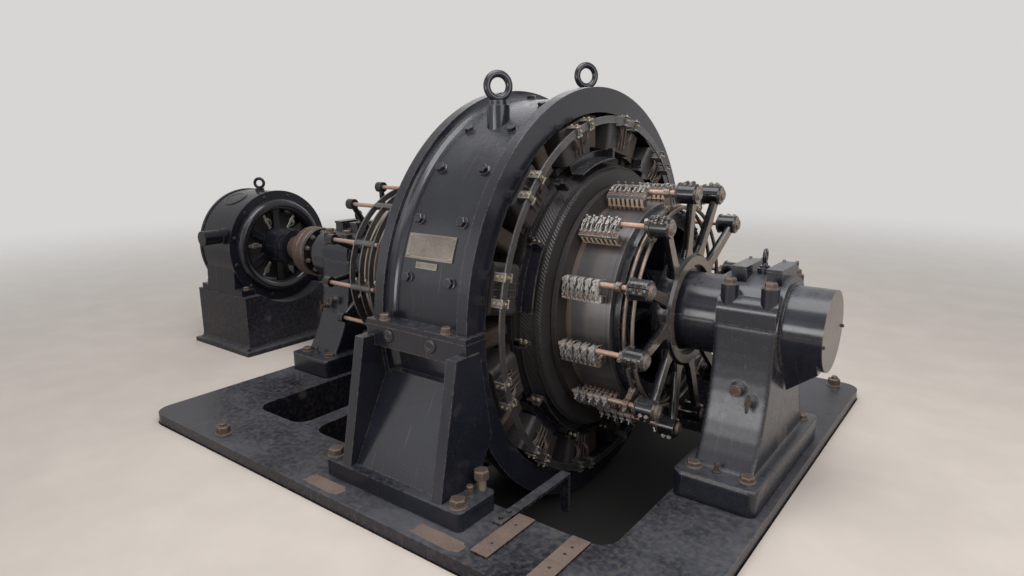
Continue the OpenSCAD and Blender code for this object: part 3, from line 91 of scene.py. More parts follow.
class Shader:
    """A material's node tree, with short calls for what the finishes share."""

    EDGE_MASK: Range = (0.995, 0.88)
    SCRATCHES: tuple[tuple[Point, Point], ...] = (((0.4, 0.9, 0.3), (160.0, 2.2, 2.2)),
                                                  ((1.3, 0.2, 1.1), (190.0, 3.0, 3.0)))
    SCRATCH_MASK: Range = (0.70, 0.76)

    def __init__(self, name: str) -> None:
        """Starts an empty material with one principled shader.

        Args:
            name: The material's name.
        """
        self.material = bpy.data.materials.new(name)
        self.material.use_nodes = True
        self.tree = self.material.node_tree
        self.tree.nodes.clear()
        self.output = self.tree.nodes.new("ShaderNodeOutputMaterial")
        self.surface = self.tree.nodes.new("ShaderNodeBsdfPrincipled")
        self.tree.links.new(self.surface.outputs[0], self.output.inputs[0])
        self.place = self.tree.nodes.new("ShaderNodeTexCoord").outputs["Object"]

    def node(self, kind: str, inputs: dict | None = None, **settings: object) -> bpy.types.Node:
        """Adds a node.

        Args:
            kind: Blender's name of the node type.
            inputs: Values or sockets for its inputs, by name or number.
            **settings: Values of the node's own settings.

        Returns:
            The node.
        """
        made = self.tree.nodes.new(kind)
        for key, value in settings.items():
            setattr(made, key, value)
        for key, value in (inputs or {}).items():
            if isinstance(value, bpy.types.NodeSocket):
                self.tree.links.new(value, made.inputs[key])
            else:
                made.inputs[key].default_value = value
        return made

    def noise(self, scale: float, grain: Grain = Grain.CAST, detail: float = 5.0,
              rough: float = 0.55) -> bpy.types.NodeSocket:
        """Adds a noise pattern and returns its value.

        Args:
            scale: Features in a metre.
            grain: The stretch of the pattern.
            detail: Octaves.
            rough: Strength of the fine octaves.

        Returns:
            The socket with the pattern.
        """
        spot = self.node("ShaderNodeMapping", {"Vector": self.place, "Scale": grain.value})
        return self.node("ShaderNodeTexNoise", {"Vector": spot.outputs[0], "Scale": scale,
                                                "Detail": detail, "Roughness": rough}).outputs[0]

    def ramp(self, value: bpy.types.NodeSocket, low: float, high: float) -> bpy.types.NodeSocket:
        """Turns the part of a value between low and high into 0 to 1, smoothly.

        Args:
            value: The value.
            low: Where the result starts to rise.
            high: Where it reaches 1.

        Returns:
            The socket with the result.
        """
        return self.node("ShaderNodeMapRange", {"Value": value, "From Min": low, "From Max": high},
                         interpolation_type="SMOOTHSTEP").outputs[0]

    def sum(self, kind: str, first: object, second: object = 0.0) -> bpy.types.NodeSocket:
        """Works out one step of arithmetic on two values.

        Args:
            kind: Blender's name of the operation.
            first: A socket or number.
            second: A socket or number.

        Returns:
            The socket with the result.
        """
        return self.node("ShaderNodeMath", {0: first, 1: second}, operation=kind).outputs[0]

    def times(self, first: object, second: object) -> bpy.types.NodeSocket:
        """Returns the product of two values, each a socket or number."""
        return self.sum("MULTIPLY", first, second)

    def plus(self, first: object, second: object) -> bpy.types.NodeSocket:
        """Returns the sum of two values, each a socket or number."""
        return self.sum("ADD", first, second)

    def mix(self, share: object, first: object, second: object) -> bpy.types.NodeSocket:
        """Blends two colours.

        Args:
            share: Share of the second colour.
            first: A socket or colour.
            second: A socket or colour.

        Returns:
            The socket with the blend.
        """
        made = self.node("ShaderNodeMix", {0: share}, data_type="RGBA")
        for number, value in ((6, first), (7, second)):
            if isinstance(value, bpy.types.NodeSocket):
                self.tree.links.new(value, made.inputs[number])
            else:
                made.inputs[number].default_value = (*value, 1.0)
        return made.outputs[2]

    def edges(self, width: float) -> bpy.types.NodeSocket:
        """Finds the edges of a form.

        Args:
            width: How far from an edge the mask reaches.

        Returns:
            A socket that is 0 on flat ground and rises towards an edge.
        """
        soft = self.node("ShaderNodeBevel", {"Radius": width}, samples=4).outputs[0]
        hard = self.node("ShaderNodeNewGeometry").outputs["Normal"]
        dot = self.node("ShaderNodeVectorMath", {0: soft, 1: hard}, operation="DOT_PRODUCT")
        return self.ramp(dot.outputs["Value"], *self.EDGE_MASK)

    def upward(self, low: float = 0.62, high: float = 0.98) -> bpy.types.NodeSocket:
        """Finds the faces that look up, where dust settles.

        Args:
            low: Upward share of the normal at which dust starts.
            high: Upward share at which it lies fully.

        Returns:
            The socket with the mask.
        """
        normal = self.node("ShaderNodeNewGeometry").outputs["Normal"]
        split = self.node("ShaderNodeSeparateXYZ", {0: normal})
        return self.ramp(split.outputs[2], low, high)

    def scratches(self) -> bpy.types.NodeSocket:
        """Draws thin scratches in two directions, and returns their mask."""
        found = []
        for turn, scale in self.SCRATCHES:
            spot = self.node("ShaderNodeMapping", {"Vector": self.place, "Rotation": turn,
                                                   "Scale": scale})
            lines = self.node("ShaderNodeTexNoise", {"Vector": spot.outputs[0], "Scale": 1.0,
                                                     "Detail": 2.0}).outputs[0]
            found.append(self.ramp(lines, *self.SCRATCH_MASK))
        return self.sum("MAXIMUM", *found)

    def bump(self, height: bpy.types.NodeSocket, strength: float, depth: float) -> None:
        """Raises the surface by a pattern, on top of what was raised before.

        Args:
            height: The pattern.
            strength: Share of the depth that counts.
            depth: Height of the pattern in metres.
        """
        inputs = {"Height": height, "Strength": strength, "Distance": depth}
        old = self.surface.inputs["Normal"]
        if old.is_linked:
            inputs["Normal"] = old.links[0].from_socket
        made = self.node("ShaderNodeBump", inputs)
        self.tree.links.new(made.outputs[0], old)

    def put(self, **values: object) -> None:
        """Sets inputs of the principled shader, by name with _ for a space."""
        for key, value in values.items():
            socket = self.surface.inputs[key.replace("_", " ")]
            if isinstance(value, bpy.types.NodeSocket):
                self.tree.links.new(value, socket)
            else:
                socket.default_value = value


@dataclass(frozen=True)
class Finish:
    """A finish that can be painted once and shared by many pieces."""

    name: str
    slot: str

    def paint(self, shader: Shader) -> None:
        """Adds the finish's own nodes to a shader."""
        raise NotImplementedError

    def material(self) -> bpy.types.Material:
        """Returns the finish's material, painted at its first use."""
        found = bpy.data.materials.get("finish_" + self.name)
        if found is None:
            shader = Shader("finish_" + self.name)
            self.paint(shader)
            found = shader.material
        return found


@dataclass(frozen=True)
class Enamel(Finish):
    """Machine enamel: glossy and dark, chipped at the edges and dusty on top.

    Scales are in features a metre, a mask rises between its two values, a part is what a pattern
    adds to the roughness, and a bump has a strength and a depth in metres.
    """

    colour: Colour = (0.010, 0.011, 0.015)
    worn: Colour = (0.16, 0.13, 0.11)
    dust: Colour = (0.165, 0.168, 0.185)
    rusty: Colour = (0.115, 0.075, 0.055)
    dusty: float = 0.38
    gloss: float = 0.22
    wear: float = 0.75
    rust: float = 0.0
    cast: float = 0.0005
    scratched: float = 0.35
    specked: float = 0.35
    shine: float = 0.5
    soft: float = 0.0
    # Tint of the +X faces beyond tint_from: bare machined metal on the rocker, a painted
    # reflection on the cover's end face
    machined: Colour | None = None
    tint_from: float = 0.0
    broad_scale: float = 2.2
    fine_scale: float = 38.0
    speck_scale: float = 210.0
    chip_width: float = 0.007
    film_mask: Range = (0.62, 1.42)
    speck_mask: Range = (0.66, 0.74)
    rust_mask: Range = (0.50, 0.62)
    chip_mask: Range = (0.86, 1.14)
    facing_mask: Range = (0.93, 0.98)
    # Painted shade: between these heights the tint of the +X faces fades out towards the bottom,
    # down to the least share, so lower faces stay dark as if shaded
    painted_shade_heights: Range = (0.95, 1.12)
    painted_shade_least: float = 0.25
    stain_mask: Range = (0.45, 0.75)
    stain_tone: float = 0.55
    tint_metal: float = 0.75
    broad_mask: Range = (0.3, 0.7)
    paler: float = 1.7
    haze: float = 0.002
    fine_part: float = 0.24
    film_part: float = 0.75
    bare_part: float = 0.25
    ior: float = 1.52
    broad_bump: Size = (0.12, 0.003)
    fine_bump: float = 0.20
    speck_bump: Size = (0.12, 0.0002)

    def bare_and_reflection_faces(self, shader: Shader, shade: object, fine: object) -> bpy.types.NodeSocket:
        """Tints the faces that look to +X beyond a point: bare turned metal on the rocker, a
        painted reflection on the cover's end face, both fading lower down as painted shade.

        Args:
            shader: The shader in the making.
            shade: The colour so far.
            fine: A fine pattern for stains.

        Returns:
            The colour with the bare faces.
        """
        normal = shader.node("ShaderNodeNewGeometry").outputs["Normal"]
        facing = shader.ramp(shader.node("ShaderNodeSeparateXYZ", {0: normal}).outputs[0],
                             *self.facing_mask)
        place = shader.node("ShaderNodeSeparateXYZ", {0: shader.place})
        beyond = shader.sum("GREATER_THAN", place.outputs[0], self.tint_from)
        # The stained tint: bare metal on machined faces, a painted reflection on the cover's
        # enamel
        worn = shader.mix(shader.ramp(fine, *self.stain_mask), self.machined,
                          tuple(c * self.stain_tone for c in self.machined))
        # Painted shade: the tint thins out lower down, so the lower faces keep their dark enamel
        # as if in shade
        height = shader.ramp(place.outputs[2], *self.painted_shade_heights)
        rubbed = shader.plus(shader.times(height, 1.0 - self.painted_shade_least), self.painted_shade_least)
        mask = shader.times(shader.times(facing, beyond), rubbed)
        shader.put(Metallic=shader.times(mask, self.tint_metal))
        return shader.mix(mask, shade, worn)

    def paint(self, shader: Shader) -> None:
        """Lays colour, dust, chipped edges, brush marks and a cast surface."""
        broad = shader.noise(self.broad_scale, detail=3.0)
        fine = shader.noise(self.fine_scale, detail=8.0, rough=0.7)
        specks = shader.noise(self.speck_scale, detail=2.0)
        shade = shader.mix(shader.ramp(broad, *self.broad_mask), self.colour,
                           tuple(c * self.paler + self.haze for c in self.colour))
        settled = shader.times(shader.upward(),
                               shader.ramp(shader.plus(broad, fine), *self.film_mask))
        film = shader.times(settled, self.dusty)
        shade = shader.mix(film, shade, self.dust)
        spots = shader.times(shader.ramp(specks, *self.speck_mask), self.specked)
        shade = shader.mix(spots, shade, self.dust)
        shade = shader.mix(shader.times(shader.scratches(), self.scratched), shade, self.worn)
        if self.rust:
            shade = shader.mix(shader.times(shader.ramp(fine, *self.rust_mask), self.rust),
                               shade, self.rusty)
        chips = shader.times(shader.edges(self.chip_width),
                             shader.ramp(shader.plus(fine, specks), *self.chip_mask))
        bare = shader.times(chips, self.wear)
        shade = shader.mix(bare, shade, self.worn)
        # Tints the +X faces: bare metal where machined, a painted reflection on the cover
        if self.machined:
            shade = self.bare_and_reflection_faces(shader, shade, fine)
        rough = shader.plus(shader.times(fine, self.fine_part), self.gloss - self.fine_part / 2)
        rough = shader.plus(rough, shader.times(film, self.film_part))
        rough = shader.plus(rough, shader.times(bare, self.bare_part))
        shader.put(Base_Color=shade, Roughness=rough, IOR=self.ior,
                   Specular_IOR_Level=self.shine)
        if self.soft:
            shader.put(Normal=shader.node("ShaderNodeBevel", {"Radius": self.soft},
                                          samples=8).outputs[0])
        shader.bump(broad, *self.broad_bump)
        shader.bump(fine, self.fine_bump, self.cast)
        shader.bump(specks, *self.speck_bump)


@dataclass(frozen=True)
class Metal(Finish):
    """Bare metal: turned, brushed or as rolled, with stains, scratches and bright edges."""

    colour: Colour = (0.45, 0.44, 0.43)
    stain: Colour = (0.13, 0.10, 0.08)
    bright: Colour = (0.75, 0.72, 0.68)
    gloss: float = 0.34
    stained: float = 0.6
    metal: float = 0.9
    grain: Grain = Grain.CAST
    depth: float = 0.0004
    inner: Colour | None = None
    inner_radius: float = 0.0
    broad_scale: float = 9.0
    fine_scale: float = 120.0
    edge_width: float = 0.004
    stain_mask: Range = (0.75, 1.25)
    rub_mask: Range = (0.35, 0.60)
    rub_strength: float = 0.7
    inner_blend: float = 0.004
    fine_part: float = 0.25
    even_part: float = 0.1
    stain_part: float = 0.3
    fine_bump: float = 0.45
    broad_bump: float = 0.2

    def base(self, shader: Shader) -> object:
        """Returns the metal's colour, another one near the shaft where it has one."""
        if self.inner is None:
            return self.colour
        split = shader.node("ShaderNodeSeparateXYZ", {0: shader.place})
        height = shader.sum("SUBTRACT", split.outputs[2], SHAFT_HEIGHT)
        squares = shader.plus(shader.times(height, height),
                              shader.times(split.outputs[1], split.outputs[1]))
        radius = shader.sum("SQRT", squares)
        outside = shader.ramp(radius, self.inner_radius, self.inner_radius + self.inner_blend)
        return shader.mix(outside, self.inner, self.colour)

    def paint(self, shader: Shader) -> None:
        """Lays the metal's colour, stains, fine scratches and bright edges."""
        broad = shader.noise(self.broad_scale, detail=4.0)
        fine = shader.noise(self.fine_scale, self.grain, detail=8.0, rough=0.7)
        stains = shader.ramp(shader.plus(broad, fine), *self.stain_mask)
        stained = shader.times(stains, self.stained)
        shade = shader.mix(stained, self.base(shader), self.stain)
        rubbed = shader.times(shader.edges(self.edge_width),
                              shader.ramp(fine, *self.rub_mask))
        shade = shader.mix(shader.times(rubbed, self.rub_strength), shade, self.bright)
        rough = shader.plus(shader.times(fine, self.fine_part), self.gloss - self.even_part)
        rough = shader.plus(rough, shader.times(stained, self.stain_part))
        shader.put(Base_Color=shade, Roughness=rough, Metallic=self.metal)
        shader.bump(fine, self.fine_bump, self.depth)
        shader.bump(broad, self.broad_bump, self.depth * 3)


@dataclass(frozen=True)
class RoundShaft(Finish):
    """A surface of many bars or slots round the shaft, such as a commutator's."""

    bars: int = 300
    colour: Colour = (0.20, 0.185, 0.19)
    track: Colour = (0.30, 0.255, 0.235)
    joint: Colour = (0.035, 0.03, 0.03)
    bands: float = 41.0
    gap: float = 0.16
    gloss: float = 0.34
    metal: float = 0.65
    contrast: float = 1.0
    variety: float = 0.35
    stripes: tuple[tuple[float, float, Colour], ...] = ()
    smear_scale: float = 30.0
    run_mask: Range = (-0.2, 1.4)
    run_strength: float = 0.75
    stripe_strength: float = 0.85
    joint_share: float = 0.4
    odd_tone: float = 0.45
    smear_part: float = 0.22
    even_part: float = 0.08
    joint_bump: Size = (0.6, 0.0012)
    smear_bump: Size = (0.25, 0.0006)

    def stripe(self, shader: Shader, x: object, shade: object) -> bpy.types.NodeSocket:
        """Lays the rings of another colour round the surface, and returns the colour."""
        for low, high, colour in self.stripes:
            inside = shader.times(shader.sum("GREATER_THAN", x, low),
                                  shader.sum("LESS_THAN", x, high))
            shade = shader.mix(shader.times(inside, self.stripe_strength), shade, colour)
        return shade

    def paint(self, shader: Shader) -> None:
        """Lays bars with dark joints, each a little different, and brighter running bands."""
        split = shader.node("ShaderNodeSeparateXYZ", {0: shader.place})
        height = shader.sum("SUBTRACT", split.outputs[2], SHAFT_HEIGHT)
        angle = shader.sum("ARCTAN2", split.outputs[1], height)
        turn = shader.times(angle, self.bars / math.tau)
        part = shader.sum("FRACT", turn)
        edge = shader.sum("ABSOLUTE", shader.sum("SUBTRACT", part, 0.5))
        joint = shader.ramp(edge, 0.5 - self.gap, 0.5 - self.gap * self.joint_share)
        number = shader.node("ShaderNodeTexWhiteNoise", {"W": shader.sum("FLOOR", turn)},
                             noise_dimensions="1D").outputs["Value"]
        wave = shader.sum("SINE", shader.times(split.outputs[0], math.tau * self.bands))
        smear = shader.noise(self.smear_scale, Grain.ROUND_SHAFT)
        run = shader.times(shader.ramp(shader.plus(wave, smear), *self.run_mask),
                           self.run_strength)
        shade = shader.mix(run, self.colour, self.track)
        shade = shader.mix(shader.times(number, self.variety), shade,
                           tuple(c * self.odd_tone for c in self.colour))
        shade = self.stripe(shader, split.outputs[0], shade)
        shade = shader.mix(shader.times(joint, self.contrast), shade, self.joint)
        rough = shader.plus(shader.times(smear, self.smear_part), self.gloss - self.even_part)
        shader.put(Base_Color=shade, Roughness=rough, Metallic=self.metal)
        strength, depth = self.joint_bump
        shader.bump(shader.sum("SUBTRACT", 1.0, joint), strength * self.contrast, depth)
        shader.bump(smear, *self.smear_bump)


@dataclass(frozen=True)
class Taped(Finish):
    """Windings wrapped in varnished tape, with lapped turns and a dusty film."""

    colour: Colour = (0.035, 0.027, 0.022)
    light: Colour = (0.10, 0.075, 0.055)
    dust: Colour = (0.13, 0.12, 0.12)
    turns: float = 70.0
    gloss: float = 0.42
    slant: Point = (0.5, 0.35, 0.6)
    weave_scale: float = 420.0
    broad_scale: float = 7.0
    upward_mask: Range = (0.2, 0.9)
    dust_mask: Range = (0.35, 0.75)
    dusty: float = 0.2
    lap_mask: Range = (0.5, 1.5)
    lap_waver: float = 1.2
    weave_part: float = 0.25
    ior: float = 1.5
    lap_bump: Size = (0.5, 0.0012)
    weave_bump: Size = (0.3, 0.0003)

    def paint(self, shader: Shader) -> None:
        """Lays the lapped tape, its weave and dust."""
        spot = shader.node("ShaderNodeMapping", {"Vector": shader.place, "Rotation": self.slant})
        laps = shader.node("ShaderNodeTexWave", {"Vector": spot.outputs[0], "Scale": self.turns,
                                                 "Distortion": self.lap_waver, "Detail": 2.0},
                           wave_profile="SAW").outputs[1]
        weave = shader.noise(self.weave_scale, detail=3.0)
        broad = shader.noise(self.broad_scale)
        shade = shader.mix(shader.ramp(shader.plus(laps, broad), *self.lap_mask),
                           self.colour, self.light)
        film = shader.times(shader.upward(*self.upward_mask),
                            shader.ramp(broad, *self.dust_mask))
        shade = shader.mix(shader.times(film, self.dusty), shade, self.dust)
        rough = shader.plus(shader.times(weave, self.weave_part), self.gloss)
        shader.put(Base_Color=shade, Roughness=rough, IOR=self.ior)
        shader.bump(laps, *self.lap_bump)
        shader.bump(weave, *self.weave_bump)


class Finishes:
    """The finishes of the machine."""

    BLUE = Enamel("blue_enamel", "blue_enamel", (0.0085, 0.0092, 0.0142), gloss=0.20)
    PEDESTAL = Enamel("pedestal_enamel", "blue_enamel", (0.0085, 0.0092, 0.0142), gloss=0.26,
                      soft=0.032)
    BLACK = Enamel("black_enamel", "black_enamel", (0.006, 0.006, 0.009), gloss=0.19, dusty=0.30)
    # The rocker's +X faces are bare machined metal; lower down they fade back to dark enamel as
    # painted shade
    ROCKER = Enamel("rocker_enamel", "black_enamel", (0.006, 0.006, 0.008), gloss=0.16,
                    dusty=0.25, machined=(0.30, 0.25, 0.205), tint_from=0.70)
    # The tan on the cover's end face is a painted reflection on its glossy enamel, fading lower
    # down as painted shade
    COVER = Enamel("cover_enamel", "blue_enamel", (0.011, 0.012, 0.018), gloss=0.17, dusty=0.35,
                   machined=(0.19, 0.160, 0.135), tint_from=1.40)
    BED = Enamel("bed_enamel", "cast_iron", (0.010, 0.0105, 0.015), gloss=0.28, dusty=0.50,
                 rust=0.28, cast=0.002, scratched=0.5, shine=0.22)
    MOTOR = Enamel("motor_enamel", "blue_enamel", (0.006, 0.0065, 0.0105), gloss=0.2, dusty=0.2,
                   shine=0.25)
    STEEL = Metal("bare_steel", "bare_steel", grain=Grain.ROUND_SHAFT)
    PLATE = Metal("plate_bronze", "dull_bronze", (0.24, 0.21, 0.18), (0.10, 0.085, 0.07),
                  (0.50, 0.44, 0.37), gloss=0.4, metal=0.5)
    PATCH = Metal("worn_iron", "rusty_steel", (0.185, 0.130, 0.105), (0.085, 0.062, 0.052),
                  (0.34, 0.28, 0.24), gloss=0.6, metal=0.15, depth=0.0006)
    STRAP = Metal("strap_steel", "bare_steel", (0.17, 0.165, 0.165), (0.045, 0.038, 0.035),
                  (0.62, 0.60, 0.58), gloss=0.30, metal=0.85)
    RINGS = Metal("ring_copper", "copper", (0.25, 0.20, 0.17), (0.08, 0.062, 0.052),
                  (0.52, 0.45, 0.38), gloss=0.36, metal=0.75)
    RUST = Metal("rusty_steel", "rusty_steel", (0.135, 0.095, 0.075), (0.045, 0.031, 0.025),
                 (0.46, 0.40, 0.35), gloss=0.45, metal=0.45, depth=0.0008)
    COPPER = Metal("copper", "copper", (0.50, 0.335, 0.265), (0.20, 0.125, 0.095),
                   (0.66, 0.50, 0.41), gloss=0.42, stained=0.45, metal=0.55)
    STRIP = Metal("strip_copper", "copper", (0.105, 0.078, 0.062), (0.038, 0.030, 0.027),
                  (0.30, 0.22, 0.17), gloss=0.45, metal=0.6)
    BRASS = Metal("dull_bronze", "dull_bronze", (0.30, 0.245, 0.165), (0.09, 0.07, 0.05),
                  (0.66, 0.56, 0.40), gloss=0.36)
    PLATED = Metal("holder_steel", "bare_steel", (0.40, 0.39, 0.38), (0.06, 0.05, 0.045),
                   (0.74, 0.71, 0.67), gloss=0.38, stained=0.8, metal=0.7,
                   inner=(0.15, 0.105, 0.072), inner_radius=0.553)
    SPRING = Metal("spring_steel", "bare_steel", (0.25, 0.238, 0.222), (0.08, 0.065, 0.055),
                   (0.70, 0.66, 0.60), gloss=0.36, stained=0.6, metal=0.7)
    RIBS = Metal("rib_bronze", "dull_bronze", (0.60, 0.45, 0.32), (0.16, 0.11, 0.075),
                 (0.80, 0.66, 0.50), gloss=0.42, stained=0.35, metal=0.35)
    CARBON = Metal("carbon", "carbon", (0.33, 0.20, 0.15), (0.10, 0.06, 0.05),
                   (0.52, 0.36, 0.28), gloss=0.5, metal=0.3)
    COMMUTATOR = RoundShaft("commutator_copper", "copper", bars=360,
                            colour=(0.150, 0.143, 0.148), track=(0.190, 0.172, 0.166), bands=8.0,
                            gap=0.12, gloss=0.30, metal=0.7, contrast=0.30, variety=0.16,
                            stripes=((0.398, 0.424, (0.30, 0.235, 0.19)),
                                     (0.603, 0.6055, (0.02, 0.018, 0.018)),
                                     (0.612, 0.6135, (0.02, 0.018, 0.018))))
    RISERS = RoundShaft("riser_copper", "copper", bars=360, colour=(0.036, 0.031, 0.031),
                        track=(0.052, 0.044, 0.041), gap=0.24, gloss=0.5, metal=0.4, contrast=0.6)
    SLIP = RoundShaft("slip_bronze", "copper", bars=1, colour=(0.30, 0.25, 0.22),
                      track=(0.44, 0.38, 0.33), bands=90.0, gap=0.0, variety=0.0)
    CORE = RoundShaft("core_sheets", "laminations", bars=180, colour=(0.03, 0.028, 0.027),
                      track=(0.05, 0.045, 0.042), bands=160.0, gap=0.3, gloss=0.6, metal=0.3)
    TAPE = Taped("varnished_tape", "varnished_winding", (0.011, 0.010, 0.011),
                 (0.027, 0.023, 0.022))
    COIL = Taped("coil_wrapping", "varnished_winding", (0.017, 0.015, 0.016),
                 (0.042, 0.036, 0.034), turns=45.0)


def at(x: float, y: float, z: float) -> Matrix:
    """Gives an upright place at a point."""
    return Matrix.Translation((x, y, z))


def spin(axis: str, angle: float) -> Matrix:
    """Gives a turn about an axis, in degrees."""
    return Matrix.Rotation(math.radians(angle), 4, axis)


def turned(angle: float, x: float = 0.0, radius: float = 0.0) -> Matrix:
    """Gives the place of what stands on the shaft line at an angle.

    Args:
        angle: Degrees from the top, towards the near side.
        x: Place along the shaft.
        radius: Distance from the shaft.

    Returns:
        A matrix whose Z points away from the shaft and whose X points along it.
    """
    return at(0, 0, SHAFT_HEIGHT) @ spin("X", angle) @ at(x, 0, radius)


def along_x(x: float, y: float, z: float) -> Matrix:
    """Gives a place whose Z axis points to +X."""
    return at(x, y, z) @ spin("Y", 90)


def polygon(radius: float, sides: int = 6, turn: float = 0.0) -> list[tuple[float, float]]:
    """Gives the corners of a regular polygon round the origin.

    Args:
        radius: Distance of the corners from the middle.
        sides: Number of corners.
        turn: Angle of the first corner in radians.

    Returns:
        The corners as x and y, counter-clockwise.
    """
    return [(radius * math.cos(math.tau * i / sides + turn),
             radius * math.sin(math.tau * i / sides + turn)) for i in range(sides)]


def walls(rings: int, count: int, closed: bool = False) -> list[tuple[int, ...]]:
    """Gives the faces between rings of points.

    Args:
        rings: Number of rings.
        count: Points in a ring.
        closed: Whether the last ring joins the first.

    Returns:
        The faces, by the numbers of their points.
    """
    faces = []
    for j in range(rings if closed else rings - 1):
        k = (j + 1) % rings
        for i in range(count):
            n = (i + 1) % count
            faces.append((j * count + i, j * count + n, k * count + n, k * count + i))
    return faces


def caps(rings: int, count: int) -> list[tuple[int, ...]]:
    """Gives the faces that close the first and the last ring of points."""
    return [tuple(reversed(range(count))), tuple((rings - 1) * count + i for i in range(count))]


@dataclass(frozen=True)
class Bolt:
    """Sizes of a hexagon bolt or nut: across the flats, head (0: the usual), end beyond it.

    The constants are shares of the width across the flats: the washer's radius and height, the
    usual head and its chamfer, and the radii of the bolt's end and of its tip.
    """

    WASHER = 0.68
    WASHER_HEIGHT = 0.09
    HEAD = 0.62
    CHAMFER = 0.07
    END = 0.29
    TIP = 0.23

    across: float
    head: float = 0.0
    end: float = 0.0


@dataclass(frozen=True)
class Spring:
    """Sizes of a wire spring: radius of its turns and wire, number of turns, length."""

    radius: float
    wire: float
    turns: int
    length: float


class Shape:
    """A mesh in the making: takes forms, repeats them and becomes a piece."""

    RIM = 0.0015
    SUNK = -0.001
    FIRST_SIDE: Point = (0.13, 0.41, 0.9)
    PLATE_BEVEL = 1.2
    PLATE_SUNK = -0.002
    PLATE_FIELD = 0.55

    def __init__(self) -> None:
        """Starts with no points and no faces."""
        self.points: list[Vector] = []
        self.faces: list[tuple[int, ...]] = []

    def add(self, points: Iterable[Vector], faces: Iterable[Sequence[int]],
            place: Matrix = Matrix()) -> None:
        """Adds points and faces at a place."""
        first = len(self.points)
        self.points.extend(place @ Vector(p) for p in points)
        self.faces.extend(tuple(first + i for i in face) for face in faces)

    def lathe(self, profile: Profile, place: Matrix = Matrix(), steps: int = 48,
              closed: bool = False) -> "Shape":
        """Turns a profile round the Z axis of a place.

        Args:
            profile: Points as radius and height.
            place: Where the form goes.
            steps: Sides of the turned form.
            closed: Whether the profile's last point joins its first.

        Returns:
            This shape.
        """
        points = [(x, y, z) for r, z in profile for x, y in polygon(r, steps)]
        faces = walls(len(profile), steps, closed)
        if not closed:
            faces += caps(len(profile), steps)
        self.add(points, faces, place)
        return self

    def prism(self, outline: Profile, height: float, place: Matrix = Matrix(),
              chamfer: float = 0.0) -> "Shape":
        """Raises an outline along the Z axis of a place.

        Args:
            outline: Points of the outline, counter-clockwise.
            height: Height of the form.
            place: Where the form goes.
            chamfer: Size of the chamfer round its top.

        Returns:
            This shape.
        """
        reach = max(math.hypot(*p) for p in outline)
        rings = [(1.0, 0.0), (1.0, height - chamfer)]
        if chamfer:
            rings.append((1.0 - chamfer / reach, height))
        points = [(x * s, y * s, z) for s, z in rings for x, y in outline]
        bottom, top = caps(len(rings), len(outline))
        self.add(points, [bottom, *walls(len(rings), len(outline)), top], place)
        return self

    def block(self, box: Box, move: Point = ORIGIN, place: Matrix = Matrix(),
              chamfer: float = 0.002) -> "Shape":
        """Adds a block with chamfered upright and upper edges.

        Args:
            box: Its lowest and its highest corner.
            move: What is added to both corners.
            place: Where the form goes.
            chamfer: Size of the chamfers.

        Returns:
            This shape.
        """
        low, high = ([a + b for a, b in zip(corner, move)] for corner in box)
        mid = [(a + b) / 2 for a, b in zip(low, high)]
        half = [(b - a) / 2 for a, b in zip(low, high)]
        c = min(chamfer, *(h * 0.8 for h in half))
        corner = [(half[0], half[1] - c), (half[0] - c, half[1])]
        outline = (corner + [(-x, y) for x, y in reversed(corner)]
                   + [(-x, -y) for x, y in corner] + [(x, -y) for x, y in reversed(corner)])
        return self.prism(outline, 2 * half[2], place @ at(mid[0], mid[1], low[2]), c)

    def tube(self, line: Route, radius: float, sides: int = 8, move: Point = ORIGIN) -> "Shape":
        """Runs a round bar along a line.

        Args:
            line: Points of its middle line.
            radius: Its radius.
            sides: Sides of its section.
            move: What is added to the points of the line.

        Returns:
            This shape.
        """
        line = [Vector([a + b for a, b in zip(p, move)]) for p in line]
        points: list[Vector] = []
        side = Vector(self.FIRST_SIDE)
        for i, p in enumerate(line):
            way = (line[min(i + 1, len(line) - 1)] - line[max(i - 1, 0)]).normalized()
            side = (side - way * side.dot(way)).normalized()
            other = way.cross(side)
            points += [p + (side * x + other * y) * radius for x, y in polygon(1.0, sides)]
        bottom, top = caps(len(line), sides)
        self.add(points, [bottom, *walls(len(line), sides), top])
        return self

    def bolt(self, place: Matrix, size: Bolt) -> "Shape":
        """Adds a hexagon head on a washer, with the bolt's end above it where it has one.

        Args:
            place: Its seat, with Z away from it.
            size: Its sizes.

        Returns:
            This shape.
        """
        across = size.across
        head = size.head or across * Bolt.HEAD
        washer = across * Bolt.WASHER_HEIGHT
        self.lathe([(across * Bolt.WASHER, self.SUNK), (across * Bolt.WASHER, washer * 0.7),
                    (across * Bolt.HEAD, washer)], place, 20)
        self.prism(polygon(across / math.sqrt(3)), head, place @ at(0, 0, washer * 0.9),
                   across * Bolt.CHAMFER)
        if size.end:
            self.lathe([(across * Bolt.END, head * 0.5),
                        (across * Bolt.END, head + size.end * 0.85),
                        (across * Bolt.TIP, head + size.end)], place, 16)
        return self

    def ring(self, outer: float, inner: float, height: float, place: Matrix = Matrix(),
             steps: int = 48) -> "Shape":
        """Adds a flat ring that rises along the Z axis of a place.

        Args:
            outer: Its outer radius.
            inner: Its inner radius.
            height: Its height.
            place: Where the ring goes.
            steps: Sides of its circles.

        Returns:
            This shape.
        """
        c = min(self.RIM, height * 0.3, (outer - inner) * 0.3)
        return self.lathe([(inner, 0), (outer, 0), (outer, height - c), (outer - c, height),
                           (inner, height)], place, steps, closed=True)

